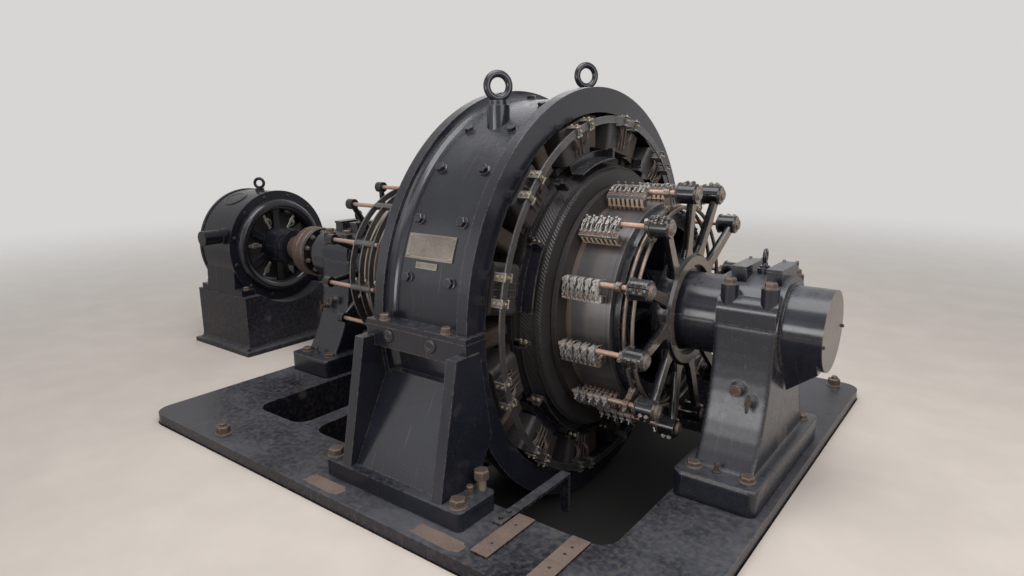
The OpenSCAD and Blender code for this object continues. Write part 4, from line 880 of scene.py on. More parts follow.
    def holed(self, width: float, length: float, holes: Profile,
              height: float, place: Matrix) -> "Shape":
        """Adds a strip with a row of round holes along its length.

        Args:
            width: Its width, along X.
            length: Its length, along Y.
            holes: Place along the length and radius of each hole.
            height: Its thickness.
            place: Where its corner goes.

        Returns:
            This shape.
        """
        turns, edges = 24, [0.0]
        edges += [(a[0] + b[0]) / 2 for a, b in zip(holes, holes[1:])] + [length]
        for (middle, radius), low, high in zip(holes, edges, edges[1:]):
            corners = [(width, low), (width, high), (0.0, high), (0.0, low)]
            outline = [tuple(a + (b - a) * i / (turns / 4) for a, b in zip(start, end))
                       for start, end in zip(corners, corners[1:] + corners[:1])
                       for i in range(turns // 4)]
            ways = [math.atan2(y - middle, x - width / 2) for x, y in outline]
            hole_line = [(width / 2 + radius * math.cos(a), middle + radius * math.sin(a))
                         for a in ways]
            points = [(x, y, z) for z in (0.0, height) for line in (outline, hole_line)
                      for x, y in line]
            faces = []
            for i in range(turns):
                n = (i + 1) % turns
                out, hole, out_top, hole_top = (k * turns for k in range(4))
                faces += [(out_top + i, out_top + n, hole_top + n, hole_top + i),
                          (out + n, out + i, hole + i, hole + n),
                          (out + i, out + n, out_top + n, out_top + i),
                          (hole + n, hole + i, hole_top + i, hole_top + n)]
            self.add(points, faces, place)
        return self

    def on_drum(self, angles: Range, xs: Range, radius: float,
                height: float, rim: float) -> "Shape":
        """Adds a plate with a raised rim, bent round the shaft line.

        Args:
            angles: Its lower and upper edge, in degrees from the top.
            xs: Its ends along the shaft.
            radius: Radius of the surface that it lies on.
            height: Height of its rim.
            rim: Width of its rim.

        Returns:
            This shape.
        """
        step = math.degrees(rim / radius)
        low, high = angles
        bevel = self.PLATE_BEVEL
        rows = [low, low, low + step, low + step * bevel]
        rows += [low + (high - low) * k / 6 for k in range(1, 6)]
        rows += [high - step * bevel, high - step, high, high]
        x0, x1 = xs
        columns = [x0, x0, x0 + rim, x0 + rim * bevel, x1 - rim * bevel, x1 - rim, x1, x1]
        points, faces = [], []
        for j, angle in enumerate(rows):
            for i, x in enumerate(columns):
                depth = min(i, j, len(columns) - 1 - i, len(rows) - 1 - j)
                rise = (self.PLATE_SUNK if depth == 0 else height if depth < 3
                        else height * self.PLATE_FIELD)
                points.append(turned(angle, x, radius + rise).translation)
        count = len(columns)
        for j in range(len(rows) - 1):
            faces += [(j * count + i, j * count + i + 1, (j + 1) * count + i + 1,
                       (j + 1) * count + i) for i in range(count - 1)]
        self.add(points, faces, Matrix())
        return self

    def coil(self, place: Matrix, spring: Spring, steps: int = 8) -> "Shape":
        """Winds a wire spring along the Z axis of a place.

        Args:
            place: Its foot.
            spring: Its sizes.
            steps: Points in a turn.

        Returns:
            This shape.
        """
        count = steps * spring.turns
        line = [place @ Vector((spring.radius * math.cos(math.tau * i / steps),
                                spring.radius * math.sin(math.tau * i / steps),
                                spring.length * i / count)) for i in range(count + 1)]
        return self.tube(line, spring.wire, 5)

    def join(self, other: "Shape") -> None:
        """Takes in another shape's points and faces."""
        self.add(other.points, other.faces)

    def repeat(self, places: Sequence[Matrix]) -> "Shape":
        """Puts a copy of what there is so far at each place, in place of it."""
        points, faces = self.points, self.faces
        self.points, self.faces = [], []
        for place in places:
            self.add(points, faces, place)
        return self

    def piece(self, name: str, finish: Finish, body: str = "root",
              replaces: Sequence[str] = (), sharp: float = 32.0) -> bpy.types.Object:
        """Makes the mesh into a piece of the machine.

        Args:
            name: The piece's name.
            finish: Its finish.
            body: The CAD body that it rides on.
            replaces: The CAD nodes that it stands for.
            sharp: Angle in degrees above which an edge stays sharp.

        Returns:
            The piece.
        """
        mesh = bpy.data.meshes.new(name)
        mesh.from_pydata(self.points, [], self.faces)
        work = bmesh.new()
        work.from_mesh(mesh)
        bmesh.ops.recalc_face_normals(work, faces=work.faces)
        for face in work.faces:
            face.smooth = True
        for edge in work.edges:
            edge.smooth = (len(edge.link_faces) == 2
                           and edge.calc_face_angle(0.0) < math.radians(sharp))
        work.to_mesh(mesh)
        work.free()
        mesh.materials.append(finish.material())
        made = bpy.data.objects.new(name, mesh)
        bpy.context.scene.collection.objects.link(made)
        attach(made, body)
        if replaces:
            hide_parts(*replaces)
        LOG.info("piece %s: %d faces on %s", name, len(mesh.polygons), body)
        return made


@dataclass
class SubAssembly:
    """A group of CAD nodes and the pieces that dress them."""

    nodes: dict[str, bpy.types.Object]

    def finish_node(self, name: str, finish: Finish) -> None:
        """Gives a CAD node its finish.

        Args:
            name: The node.
            finish: Its finish.
        """
        mesh = self.nodes[name].data
        mesh.materials.clear()
        mesh.materials.append(finish.material())
        LOG.info("node %s: %s", name, finish.name)


@dataclass
class Bedplate(SubAssembly):
    """The bedplate with its tail, machined strips and bolts."""

    foundation: Spot = (1.200, 1.320)
    foundation_bolt: Bolt = Bolt(0.062, end=0.02)
    foot_bolts: tuple[Spot, ...] = ((0.358, 1.218), (-0.395, 1.218), (-0.350, 1.061))
    foot_bolt: Bolt = Bolt(0.060, 0.030)
    foot_top: float = 0.480
    dowel: Spot = (0.349, 1.133)
    dowel_profile: Profile = ((0.016, 0), (0.016, 0.006), (0.009, 0.008), (0.009, 0.030),
                              (0.015, 0.032), (0.015, 0.046), (0.012, 0.050))
    jack: Spot = (0.350, 1.061)
    jack_radii: Size = (0.021, 0.0185)
    jack_starts: Range = (0.004, 0.0065)
    jack_pitch: float = 0.005
    jack_turns: int = 9
    jack_neck: Range = (0.052, 0.056)
    jack_head_radius: float = 0.034
    jack_head_height: float = 0.038
    jack_head_turn: float = 0.3
    jack_head_seat: float = 0.053
    strips: tuple[tuple[float, tuple[float, ...]], ...] = ((0.5205, (0.075, 0.228)),
                                                           (0.7795, (0.068, 0.120, 0.220)))
    strip_size: Size = (0.079, 0.307)
    strip_starts: Range = (-1.333, 1.026)
    strip_top: float = 0.410
    strip_thickness: float = 0.003
    strip_hole: float = 0.008
    patches: tuple[Range, ...] = ((-0.450, -0.220), (0.235, 0.480))
    patch_line: float = 1.338
    patch_half: float = 0.036
    patch_height: float = 0.0008
    patch_points: int = 28
    patch_squareness: float = 0.35

    def bolts(self) -> None:
        """Builds foundation bolts, the bolts of the yoke's feet and their dowels."""
        shape = Shape()
        for x in SIDES:
            for y in SIDES:
                shape.bolt(at(x * self.foundation[0], y * self.foundation[1], BED_TOP),
                           self.foundation_bolt)
        for x, y in self.foot_bolts:
            for side in SIDES:
                shape.bolt(at(x, side * y, self.foot_top), self.foot_bolt)
        for side in SIDES:
            shape.lathe(self.dowel_profile, at(self.dowel[0], side * self.dowel[1], self.foot_top),
                        16)
        shape.piece("foundation_bolts", Finishes.RUST)

    def jacks(self) -> None:
        """Builds the tall screws that lift the feet."""
        shape = Shape()
        crest, root = self.jack_radii
        first_crest, first_root = self.jack_starts
        thread = [(crest, 0.0)]
        for k in range(self.jack_turns):
            thread += [(crest, first_crest + k * self.jack_pitch),
                       (root, first_root + k * self.jack_pitch)]
        thread += [(crest, height) for height in self.jack_neck]
        head = polygon(self.jack_head_radius, 6, self.jack_head_turn)
        for side in SIDES:
            place = at(self.jack[0], side * self.jack[1], self.foot_top)
            shape.lathe(thread, place, 20)
            shape.prism(head, self.jack_head_height, place @ at(0, 0, self.jack_head_seat), 0.005)
        shape.piece("foot_jack_screws", Finishes.RUST)

    def strip_plates(self) -> None:
        """Lays the drilled plates on the machined strips."""
        shape = Shape()
        width, length = self.strip_size
        for x, holes in self.strips:
            mirrored = tuple(length - h for h in reversed(holes))
            for start, spots in zip(self.strip_starts, (mirrored, holes)):
                shape.holed(width, length, [(h, self.strip_hole) for h in spots],
                            self.strip_thickness, at(x, start, self.strip_top))
        shape.piece("strip_plates", Finishes.PATCH)

    def patch_outline(self, low: float, high: float) -> list[Spot]:
        """Draws the uneven outline of a rubbed place between two ends."""
        outline = []
        for i in range(self.patch_points):
            a = math.tau * i / self.patch_points
            wave = 1.0 + 0.05 * math.sin(5 * a + low * 9) + 0.03 * math.sin(9 * a)
            flat = [math.copysign(abs(v) ** self.patch_squareness, v)
                    for v in (math.cos(a), math.sin(a))]
            outline.append(((high - low) / 2 * flat[0] * wave, self.patch_half * flat[1] * wave))
        return outline

    def worn_patches(self) -> None:
        """Lays the rubbed rusty places along the near edge below the feet."""
        shape = Shape()
        for low, high in self.patches:
            for side in SIDES:
                shape.prism(self.patch_outline(low, high), self.patch_height,
                            at((low + high) / 2, side * self.patch_line, BED_TOP),
                            self.patch_height / 2)
        shape.piece("worn_patches", Finishes.PATCH)

    def build(self) -> None:
        """Builds bolts, strips and rubbed places."""
        self.bolts()
        self.jacks()
        self.strip_plates()
        self.worn_patches()

    def dress(self) -> None:
        """Gives the castings their finishes."""
        self.finish_node("bedplate", Finishes.BED)
        self.finish_node("bed_tail", Finishes.BED)


@dataclass
class Yoke(SubAssembly):
    """The field yoke with its pole bolts, flange bolts and plates."""

    web_radius: float = 1.000
    bolt_rows: Range = (-0.125, 0.125)
    first_bolt: float = 2.5
    bolt_count: int = 24
    foot_angles: Range = (86.0, 150.0)
    pole_bolt: Bolt = Bolt(0.040, 0.020)
    joint_bolts: Range = (-0.205, 0.165)
    joint_spot: Spot = (1.052, 1.124)
    joint_bolt: Bolt = Bolt(0.038, 0.024)
    face_caps: Range = (-0.155, 0.100)
    cap_spot: Spot = (1.080, 1.062)
    cap_profile: Profile = ((0.030, -0.001), (0.030, 0.004), (0.025, 0.010), (0.012, 0.012),
                            (0.010, 0.009))
    plate_angles: Range = (66.3, 72.7)
    plate_ends: Range = (-0.155, 0.122)
    # Height and width of the rim
    plate_rim: Size = (0.006, 0.008)
    tag_angles: Range = (73.4, 75.0)
    tag_ends: Range = (-0.085, 0.040)
    tag_rim: Size = (0.004, 0.003)
    # Along the shaft in metres and round it in degrees
    screw_inset: float = 0.013
    screw_inset_angle: float = 0.75
    screw_profile: Profile = ((0.006, 0.002), (0.006, 0.0065), (0.004, 0.009))
    bracket_middle: float = 0.486
    bracket_half: float = 0.0237
    bracket_ends: Range = (-1.134, -0.617)
    bracket_faces: Range = (0.0003, 0.0137)
    bracket_leg: Range = (-0.0135, -0.0003)
    bracket_leg_top: float = 0.002
    bracket_foot: float = 0.215
    bracket_bolts: Range = (0.030, 0.085)
    bracket_seat: float = 0.0135
    bracket_bolt: Bolt = Bolt(0.022)

    def pole_bolts(self) -> None:
        """Builds the bolts that hold the poles, on round seats."""
        shape = Shape()
        low, high = self.foot_angles
        for k in range(self.bolt_count):
            angle = (self.first_bolt + k * 360 / self.bolt_count + 180) % 360 - 180
            if low < abs(angle) < high:
                continue
            for x in self.bolt_rows:
                shape.bolt(turned(angle, x, self.web_radius), self.pole_bolt)
        shape.piece("pole_bolts", Finishes.BLUE)

    def joint(self) -> None:
        """Builds the bolts through the joint of the halves and the caps on its face."""
        bolts, covers = Shape(), Shape()
        for side in SIDES:
            for x in self.joint_bolts:
                bolts.bolt(at(x, side * self.joint_spot[0], self.joint_spot[1]), self.joint_bolt)
            for x in self.face_caps:
                covers.lathe(self.cap_profile, at(x, side * self.cap_spot[0], self.cap_spot[1])
                             @ spin("X", -90 * side), 28)
        bolts.piece("joint_bolts", Finishes.RUST)
        covers.piece("joint_caps", Finishes.BLUE)

    def plates(self) -> None:
        """Builds the blank rating plate with its screws, and a small tag below it."""
        shape = Shape()
        shape.on_drum(self.plate_angles, self.plate_ends, self.web_radius, *self.plate_rim)
        shape.on_drum(self.tag_angles, self.tag_ends, self.web_radius, *self.tag_rim)
        inset, turn = self.screw_inset, self.screw_inset_angle
        for x in (self.plate_ends[0] + inset, self.plate_ends[1] - inset):
            for angle in (self.plate_angles[0] + turn, self.plate_angles[1] - turn):
                shape.lathe(self.screw_profile, turned(angle, x, self.web_radius), 14)
        shape.piece("rating_plate", Finishes.PLATE)

    def bracket(self) -> None:
        """Builds the flat cable bracket over the pit, with a leg that goes down at its end."""
        shape = Shape()
        low, high = self.bracket_ends
        left, right = (self.bracket_middle + s * self.bracket_half for s in SIDES)
        bottom, top = (BED_TOP + height for height in self.bracket_faces)
        inside, outside = (high + reach for reach in self.bracket_leg)
        shape.block(((left, low, bottom), (right, high, top)))
        shape.block(((left, inside, self.bracket_foot),
                     (right, outside, BED_TOP + self.bracket_leg_top)))
        for reach in self.bracket_bolts:
            shape.bolt(at(self.bracket_middle, low + reach, BED_TOP + self.bracket_seat),
                       self.bracket_bolt)
        shape.piece("bracket_bar", Finishes.BED, replaces=("cable_bracket",))

    def build(self) -> None:
        """Builds bolts, plates and the cable bracket."""
        self.pole_bolts()
        self.joint()
        self.plates()
        self.bracket()

    def dress(self) -> None:
        """Gives the castings their finishes."""
        for name in ("yoke_lower", "yoke_upper", "lifting_eyes"):
            self.finish_node(name, Finishes.BLUE)
        self.finish_node("cable_bracket", Finishes.BED)


@dataclass
class Field(SubAssembly):
    """Poles, coils, strap ring and winding guards."""

    poles: int = 12
    first_pole: float = 17.5
    lug_reach: float = 0.055
    strap_radius: float = 0.895
    strap_face: float = 0.345
    coil_face: float = 0.289
    clamp_half: float = 0.019
    clamp_inset: Range = (0.001, 0.004)
    clamp_heights: tuple[Range, ...] = ((-0.026, -0.0185), (0.0185, 0.024))
    clamp_bolts: Range = (0.308, 0.335)
    clamp_seat: float = 0.023
    clamp_bolt: Bolt = Bolt(0.013, 0.007, 0.004)
    lug_bolt: Bolt = Bolt(0.015, 0.008, 0.006)
    # Reach from the coil's face, share of the lug's reach and distance from the shaft
    lead: Route = ((0.004, 1.0, 0.872), (0.020, 1.0, 0.862), (0.026, 0.93, 0.845),
                   (0.022, 0.8, 0.822), (0.010, 0.72, 0.806), (-0.004, 0.70, 0.798))
    lead_wires: Size = (0.0055, 0.0045)
    second_wire: Point = (-0.002, 0.013, -0.004)
    ties: tuple[float, ...] = (-0.030, 0.0, 0.030)
    # Reach from the coil's face, place across and distance from the shaft
    tie: Route = ((-0.003, 0.0, 0.905), (0.006, 0.0, 0.895), (0.007, 0.0, 0.86),
                  (0.007, 0.0, 0.80), (0.005, 0.0, 0.765), (-0.003, 0.0, 0.755))
    tie_wire: float = 0.0035
    guard_radius: float = 0.750
    guard_middle: float = 47.5
    guard_half_span: float = 12.5
    guard_count: int = 6
    guard_gap: float = 0.001
    guard_shift: float = 0.004
    guard_boxes: tuple[Box, ...] = (((0.0, -0.012, -0.038), (0.062, -0.006, 0.006)),
                                    ((0.0, -0.022, -0.002), (0.030, 0.012, 0.006)))
    guard_bolts: Range = (0.020, 0.046)
    guard_bolt_spot: Spot = (-0.006, -0.020)
    guard_bolt: Bolt = Bolt(0.014, 0.008, 0.006)

    def pole_places(self) -> list[Matrix]:
        """Returns the places of the poles, with Z away from the shaft."""
        return [turned(self.first_pole + i * 360 / self.poles) for i in range(self.poles)]

    def strap_clamps(self) -> None:
        """Builds clamp plates with bolts on the lugs of the strap ring."""
        plates, bolts = Shape(), Shape()
        back, front = self.clamp_inset
        for side in SIDES:
            y, r = side * self.lug_reach, self.strap_radius
            for low, high in self.clamp_heights:
                plates.block(((self.coil_face + back, y - self.clamp_half, r + low),
                              (self.strap_face + front, y + self.clamp_half, r + high)))
            for x in self.clamp_bolts:
                bolts.bolt(at(x, y, r + self.clamp_seat), self.clamp_bolt)
            bolts.bolt(along_x(self.strap_face, y, r), self.lug_bolt)
        plates.repeat(self.pole_places()).piece("strap_clamps", Finishes.SPRING)
        bolts.repeat(self.pole_places()).piece("strap_bolts", Finishes.BRASS)

    def leads(self) -> None:
        """Bends the connecting leads between the straps and the coils, and the coils' ties."""
        shape = Shape()
        x = self.coil_face
        for side in SIDES:
            y = side * self.lug_reach
            line = [(x + reach, y * share, r) for reach, share, r in self.lead]
            for wire, move in zip(self.lead_wires, (ORIGIN, self.second_wire)):
                shape.tube(line, wire, 8, move)
        for y in self.ties:
            shape.tube(self.tie, self.tie_wire, 6, (x, y, 0.0))
        shape.repeat(self.pole_places()).piece("coil_leads", Finishes.STRIP)

    def guard_brackets(self) -> None:
        """Builds the brackets at the ends of the winding guards, with their bolts."""
        plates, bolts = Shape(), Shape()
        x = self.coil_face + self.guard_gap
        across, height = self.guard_bolt_spot
        for side in SIDES:
            y = side * self.guard_shift
            for box in self.guard_boxes:
                plates.block(box, (x, y, 0.0), chamfer=0.001)
            for reach in self.guard_bolts:
                bolts.bolt(at(x + reach, y + across, height) @ spin("X", -90), self.guard_bolt)
        ends = [turned(self.guard_middle + k * 360 / self.guard_count + s * self.guard_half_span,
                       0.0, self.guard_radius) for k in range(self.guard_count) for s in SIDES]
        plates.repeat(ends).piece("guard_brackets", Finishes.BLACK)
        bolts.repeat(ends).piece("guard_bolts", Finishes.BRASS)

    def build(self) -> None:
        """Builds clamps, leads and brackets."""
        self.strap_clamps()
        self.leads()
        self.guard_brackets()

    def dress(self) -> None:
        """Gives poles and coils their finishes."""
        self.finish_node("main_poles", Finishes.CORE)
        self.finish_node("interpoles", Finishes.CORE)
        self.finish_node("main_coils", Finishes.COIL)
        self.finish_node("interpole_coils", Finishes.STRIP)
        self.finish_node("field_straps", Finishes.STRAP)
        self.finish_node("winding_guards", Finishes.BLACK)


@dataclass
class Armature(SubAssembly):
    """What turns: shaft, core, windings, commutator and slip rings."""

    bars: int = 240
    winding: Profile = ((0.237, 0.6915), (0.275, 0.6805), (0.318, 0.6665), (0.361, 0.6525))
    twist: float = 11.0
    bar_radius: float = 0.0052
    bands: Profile = ((0.262, 0.6895), (0.330, 0.668))
    band_size: Size = (0.016, 0.006)
    clamp_face: float = 0.660
    clamp_radius: float = 0.452
    clamp_count: int = 36
    clamp_bolt: Bolt = Bolt(0.020, 0.012, 0.010)
    coupling: Range = (-2.146, -2.030)
    coupling_disc: RingSize = (0.170, 0.1085, 0.020)
    coupling_gap: float = 0.0003
    coupling_count: int = 10
    coupling_circle: float = 0.142
    coupling_nut: Bolt = Bolt(0.026, 0.016, 0.008)
    coupling_head: Bolt = Bolt(0.026, 0.016)

    def winding_bars(self) -> None:
        """Lays the slanting bars on both end windings."""
        shape = Shape()
        for end in SIDES:
            for k in range(self.bars):
                first = k * 360 / self.bars
                line = [turned(first + end * self.twist * i / (len(self.winding) - 1), end * x,
                               r).translation for i, (x, r) in enumerate(self.winding)]
                shape.tube(line, self.bar_radius, 4)
        shape.piece("winding_bars", Finishes.TAPE, "rotor")

    def binding(self) -> None:
        """Winds binding bands round both end windings."""
        shape = Shape()
        width, height = self.band_size
        for end in SIDES:
            place = along_x(0, 0, SHAFT_HEIGHT) @ Matrix.Scale(end, 4, (0, 0, 1))
            for x, radius in self.bands:
                shape.lathe([(radius - height, x), (radius, x), (radius, x + width),
                             (radius - height, x + width)], place, 120, closed=True)
        shape.piece("winding_bands", Finishes.TAPE, "rotor")

    def clamp_bolts(self) -> None:
        """Builds the ring of bolts that draws the commutator's clamp ring tight."""
        shape = Shape()
        for k in range(self.clamp_count):
            spot = turned(k * 360 / self.clamp_count, self.clamp_face, self.clamp_radius)
            shape.bolt(along_x(*spot.translation), self.clamp_bolt)
        shape.piece("clamp_ring_bolts", Finishes.BLACK, "rotor")

    def coupling_parts(self) -> None:
        """Builds the black third disc of the coupling and the bolts through all three."""
        disc, bolts = Shape(), Shape()
        low, high = self.coupling
        disc.ring(*self.coupling_disc, along_x(0, 0, SHAFT_HEIGHT)
                  @ at(0, 0, high + self.coupling_gap), 64)
        face = high + self.coupling_disc[2]
        for k in range(self.coupling_count):
            angle = k * 360 / self.coupling_count
            nut, head = (turned(angle, x, self.coupling_circle).translation for x in (face, low))
            bolts.bolt(along_x(*nut), self.coupling_nut)
            bolts.bolt(at(*head) @ spin("Y", -90), self.coupling_head)
        disc.piece("coupling_disc", Finishes.BLACK, "rotor")
        bolts.piece("coupling_bolts", Finishes.RUST, "rotor")

    def build(self) -> None:
        """Builds winding bars, bands, clamp bolts and the coupling's small parts."""
        self.winding_bars()
        self.binding()
        self.clamp_bolts()
        self.coupling_parts()

    def dress(self) -> None:
        """Gives the turning parts their finishes."""
        finishes = {"shaft": Finishes.STEEL, "armature_core": Finishes.CORE,
                    "end_windings": Finishes.TAPE, "commutator_risers": Finishes.RISERS,
                    "commutator": Finishes.COMMUTATOR, "commutator_spider": Finishes.BLACK,
                    "armature_spider": Finishes.BLACK, "slip_rings": Finishes.SLIP,
                    "coupling_main_half": Finishes.RUST, "coupling_motor_half": Finishes.RUST,
                    "motor_rotor": Finishes.CORE}
        for name, finish in finishes.items():
            if name in self.nodes:
                self.finish_node(name, finish)


@dataclass
class BrushGear(SubAssembly):
    """The brush rocker with its spindles, holders and brushes.

    Spots, boxes and routes are given along the shaft, across the arm and away from the shaft.
    Heights near zero are counted from the top of a clamp or from the spindle's middle.
    """

    arms: int = 12
    first_arm: float = 10.0
    circle: float = 0.568
    spindle_radius: float = 0.012
    first_clamp: float = 0.433
    clamp_pitch: float = 0.038
    clamps: int = 5
    clamp_radius: float = 0.023
    first_brush: float = 0.425
    brush_pitch: float = 0.024
    brush_count: int = 8
    saddle: Box = ((-0.0130, -0.021, -0.004), (0.0130, 0.015, 0.003))
    pad: Box = ((-0.0085, -0.010, 0.0), (0.0085, 0.012, 0.005))
    clamp_screw: Profile = ((0.0065, 0.0), (0.0065, 0.004), (0.0035, 0.0045), (0.0035, 0.013),
                            (0.0055, 0.0135), (0.0055, 0.017))
    clamp_screw_spot: Spot = (0.003, 0.003)
    spring: Spring = Spring(0.0090, 0.0013, 5, 0.012)
    spring_spot: Point = (-0.006, -0.024, -0.030)
    finger: Route = ((0.0, -0.016, -0.004), (0.0, -0.030, 0.006), (0.0, -0.046, 0.004),
                     (0.0, -0.058, -0.006), (0.0, -0.064, -0.010))
    finger_radius: float = 0.0028
    button: Profile = ((0.0045, 0), (0.0055, 0.002), (0.0055, 0.007), (0.003, 0.009))
    button_spot: Spot = (-0.0665, 0.0115)
    # Reach along the shaft, share of the sway, place across the arm and height
    pigtail_lines: tuple[tuple[tuple[float, int, float, float], ...], ...] = (
        ((0.0, 0, -0.066, 0.560), (0.002, 0, -0.071, 0.574), (0.005, 1, -0.068, 0.590),
         (0.008, 1, -0.054, 0.599), (0.009, 1, -0.038, 0.600), (0.008, 0, -0.026, 0.592),
         (0.006, 0, -0.021, 0.584)),
        ((0.004, 0, -0.010, 0.548), (0.007, 0, 0.004, 0.538), (0.011, -1, 0.016, 0.541),
         (0.012, -1, 0.024, 0.552), (0.010, 0, 0.022, 0.566), (0.007, 0, 0.017, 0.574)))
    pigtail_radius: float = 0.0013
    pigtail_sway: float = 0.006
    lean: float = 6.63
    rim: Box = ((-0.0098, -0.0016, 0.5175), (0.0098, 0.0016, 0.5235))
    rim_reach: float = 0.0162
    rib: Box = ((-0.0055, -0.0022, 0.5235), (0.0055, 0.0022, 0.556))
    rib_reach: float = 0.0165
    ring_clamps: Range = (0.688, 0.728)
    lug_head: Box = ((-0.012, -0.009, -0.004), (0.012, 0.009, 0.009))
    lug_foot: Box = ((-0.016, -0.016, 0.494), (0.016, 0.016, 0.510))
    lug_bolt: Bolt = Bolt(0.017, 0.010)
    side_spot: Spot = (0.015, 0.502)
    side_screw: Bolt = Bolt(0.012, 0.006)
    collar: Size = (0.040, 0.007)
    collar_start: float = 0.7365
    end_ring: RingSize = (0.031, 0.025, 0.002)
    end_ring_start: float = 0.8352
    end_disc: Profile = ((0.0235, -0.001), (0.0235, 0.0012), (0.0180, 0.0020), (0.0130, 0.0020),
                         (0.0120, 0.0006), (0.0060, 0.0006), (0.0050, 0.0014))
    end_disc_start: float = 0.8440
    boss_screws: Range = (0.7777, 0.8063)
    boss_spot: Spot = (0.017, 0.046)
    boss_screw: Bolt = Bolt(0.013, 0.005)
    ac_first: float = 5.0
    ac_step: int = 3
    ac_tracks: tuple[float, ...] = (-0.929, -1.009, -1.089)
    ac_clamp: Box = ((-0.016, -0.020, 0.462), (0.016, 0.020, 0.474))
    ac_spring: Spring = Spring(0.010, 0.002, 5, 0.024)
    ac_spring_spot: Point = (-0.012, 0.034, 0.470)
    ac_finger: Route = ((0.0, 0.034, 0.460), (0.0, 0.026, 0.448), (0.0, 0.012, 0.456))
    ac_finger_radius: float = 0.003

    def arm_places(self, first: int = 0, step: int = 1) -> list[Matrix]:
        """Returns the places of the arms, with Z away from the shaft.

        Args:
            first: Number of the first arm.
            step: Step between the arms.

        Returns:
            A matrix for each arm.
        """
        return [turned(self.first_arm + i * 360 / self.arms)
                for i in range(first, self.arms, step)]

    def brush_spots(self) -> list[float]:
        """Returns the places of a spindle's brushes along the shaft."""
        return [self.first_brush + k * self.brush_pitch for k in range(self.brush_count)]

    def fingers(self) -> None:
        """Builds springs, screws and pressure fingers on the clamps of each spindle."""
        springs, fingers = Shape(), Shape()
        top = self.circle + self.clamp_radius
        screw_y, screw_z = self.clamp_screw_spot
        spring_x, spring_y, spring_z = self.spring_spot
        for k in range(self.clamps):
            x = self.first_clamp + k * self.clamp_pitch
            fingers.block(self.saddle, (x, 0.0, top))
            fingers.block(self.pad, (x, 0.0, top), chamfer=0.0015)
            fingers.lathe(self.clamp_screw, at(x, screw_y, top + screw_z), 12)
            springs.coil(at(x + spring_x, spring_y, top + spring_z) @ spin("Y", 90), self.spring)
        button_y, button_z = self.button_spot
        for x in self.brush_spots():
            fingers.tube(self.finger, self.finger_radius, 6, (x, 0.0, top))
            fingers.lathe(self.button, at(x, button_y, self.circle + button_z), 10)
        springs.repeat(self.arm_places()).piece("brush_springs", Finishes.SPRING, "rocker",
                                                sharp=60)
        fingers.repeat(self.arm_places()).piece("pressure_fingers", Finishes.PLATED, "rocker")

    def pigtails(self) -> None:
        """Hangs the flexible leads between the brushes and the clamps."""
        shape = Shape()
        for k, x in enumerate(self.brush_spots()):
            sway = self.pigtail_sway * math.sin(2.4 * k + 0.7)
            for points in self.pigtail_lines:
                line = [(x + reach + share * sway, y, z) for reach, share, y, z in points]
                shape.tube(line, self.pigtail_radius, 6)
        shape.repeat(self.arm_places()).piece("pigtails", Finishes.SPRING, "rocker", sharp=60)

    def box_rims(self) -> None:
        """Builds the folded rims and ribs of the brush boxes."""
        shape = Shape()
        leaning = spin("X", self.lean)
        for x in self.brush_spots():
            for side in SIDES:
                shape.block(self.rim, (x, side * self.rim_reach, 0.0), leaning, 0.0006)
                shape.block(self.rib, (x, side * self.rib_reach, 0.0), leaning, 0.0010)
        shape.repeat(self.arm_places()).piece("box_rims", Finishes.RIBS, "rocker")

    def ring_screws(self) -> None:
        """Builds clamp lugs and screws where the connection rings hang."""
        lugs, screws = Shape(), Shape()
        top = self.circle + self.clamp_radius
        side_y, side_z = self.side_spot
        for k, x in enumerate(self.ring_clamps):
            lug, screw = Shape(), Shape()
            lug.block(self.lug_head, (x, 0.0, top))
            lug.block(self.lug_foot, (x, 0.0, 0.0))
            screw.bolt(at(x, 0, top + self.lug_head[1][2]), self.lug_bolt)
            for side in SIDES:
                screw.bolt(at(x, side * side_y, side_z) @ spin("X", -90 * side), self.side_screw)
            for whole, part in ((lugs, lug), (screws, screw)):
                whole.join(part.repeat(self.arm_places(k, 2)))
        lugs.piece("ring_lugs", Finishes.RINGS, "rocker")
        screws.piece("ring_screws", Finishes.SPRING, "rocker")

    def boss_rings(self) -> None:
        """Builds the insulating collars and the end rings of the spindle bosses."""
        collars, rings = Shape(), Shape()
        outer, length = self.collar
        collars.ring(outer, self.spindle_radius + 0.0004, length,
                     along_x(self.collar_start, 0, self.circle), 40)
        rings.ring(*self.end_ring, along_x(self.end_ring_start, 0, self.circle), 36)
        rings.lathe(self.end_disc, along_x(self.end_disc_start, 0, self.circle), 32)
        screw_y, screw_z = self.boss_spot
        for x in self.boss_screws:
            for side in SIDES:
                rings.bolt(at(x, side * screw_y, self.circle + screw_z) @ spin("X", -90 * side),
                           self.boss_screw)
        collars.repeat(self.arm_places()).piece("spindle_collars", Finishes.BLACK, "rocker")
        rings.repeat(self.arm_places()).piece("boss_rings", Finishes.PLATE, "rocker")

    def ac_holders(self) -> None:
        """Builds clamps and springs over the brushes on the slip rings."""
        shape = Shape()
        spring_x, spring_y, spring_z = self.ac_spring_spot
        for x in self.ac_tracks:
            shape.block(self.ac_clamp, (x, 0.0, 0.0))
            shape.coil(at(x + spring_x, spring_y, spring_z) @ spin("Y", 90), self.ac_spring)
            shape.tube(self.ac_finger, self.ac_finger_radius, 6, (x, 0.0, 0.0))
        places = [turned(self.ac_first + i * 360 / self.arms)
                  for i in range(0, self.arms, self.ac_step)]
        shape.repeat(places).piece("ac_brush_clamps", Finishes.SPRING)

    def build(self) -> None:
        """Builds the small parts of both sets of brush gear."""
        self.fingers()
        self.pigtails()
        self.box_rims()
        self.ring_screws()
        self.boss_rings()
        self.ac_holders()

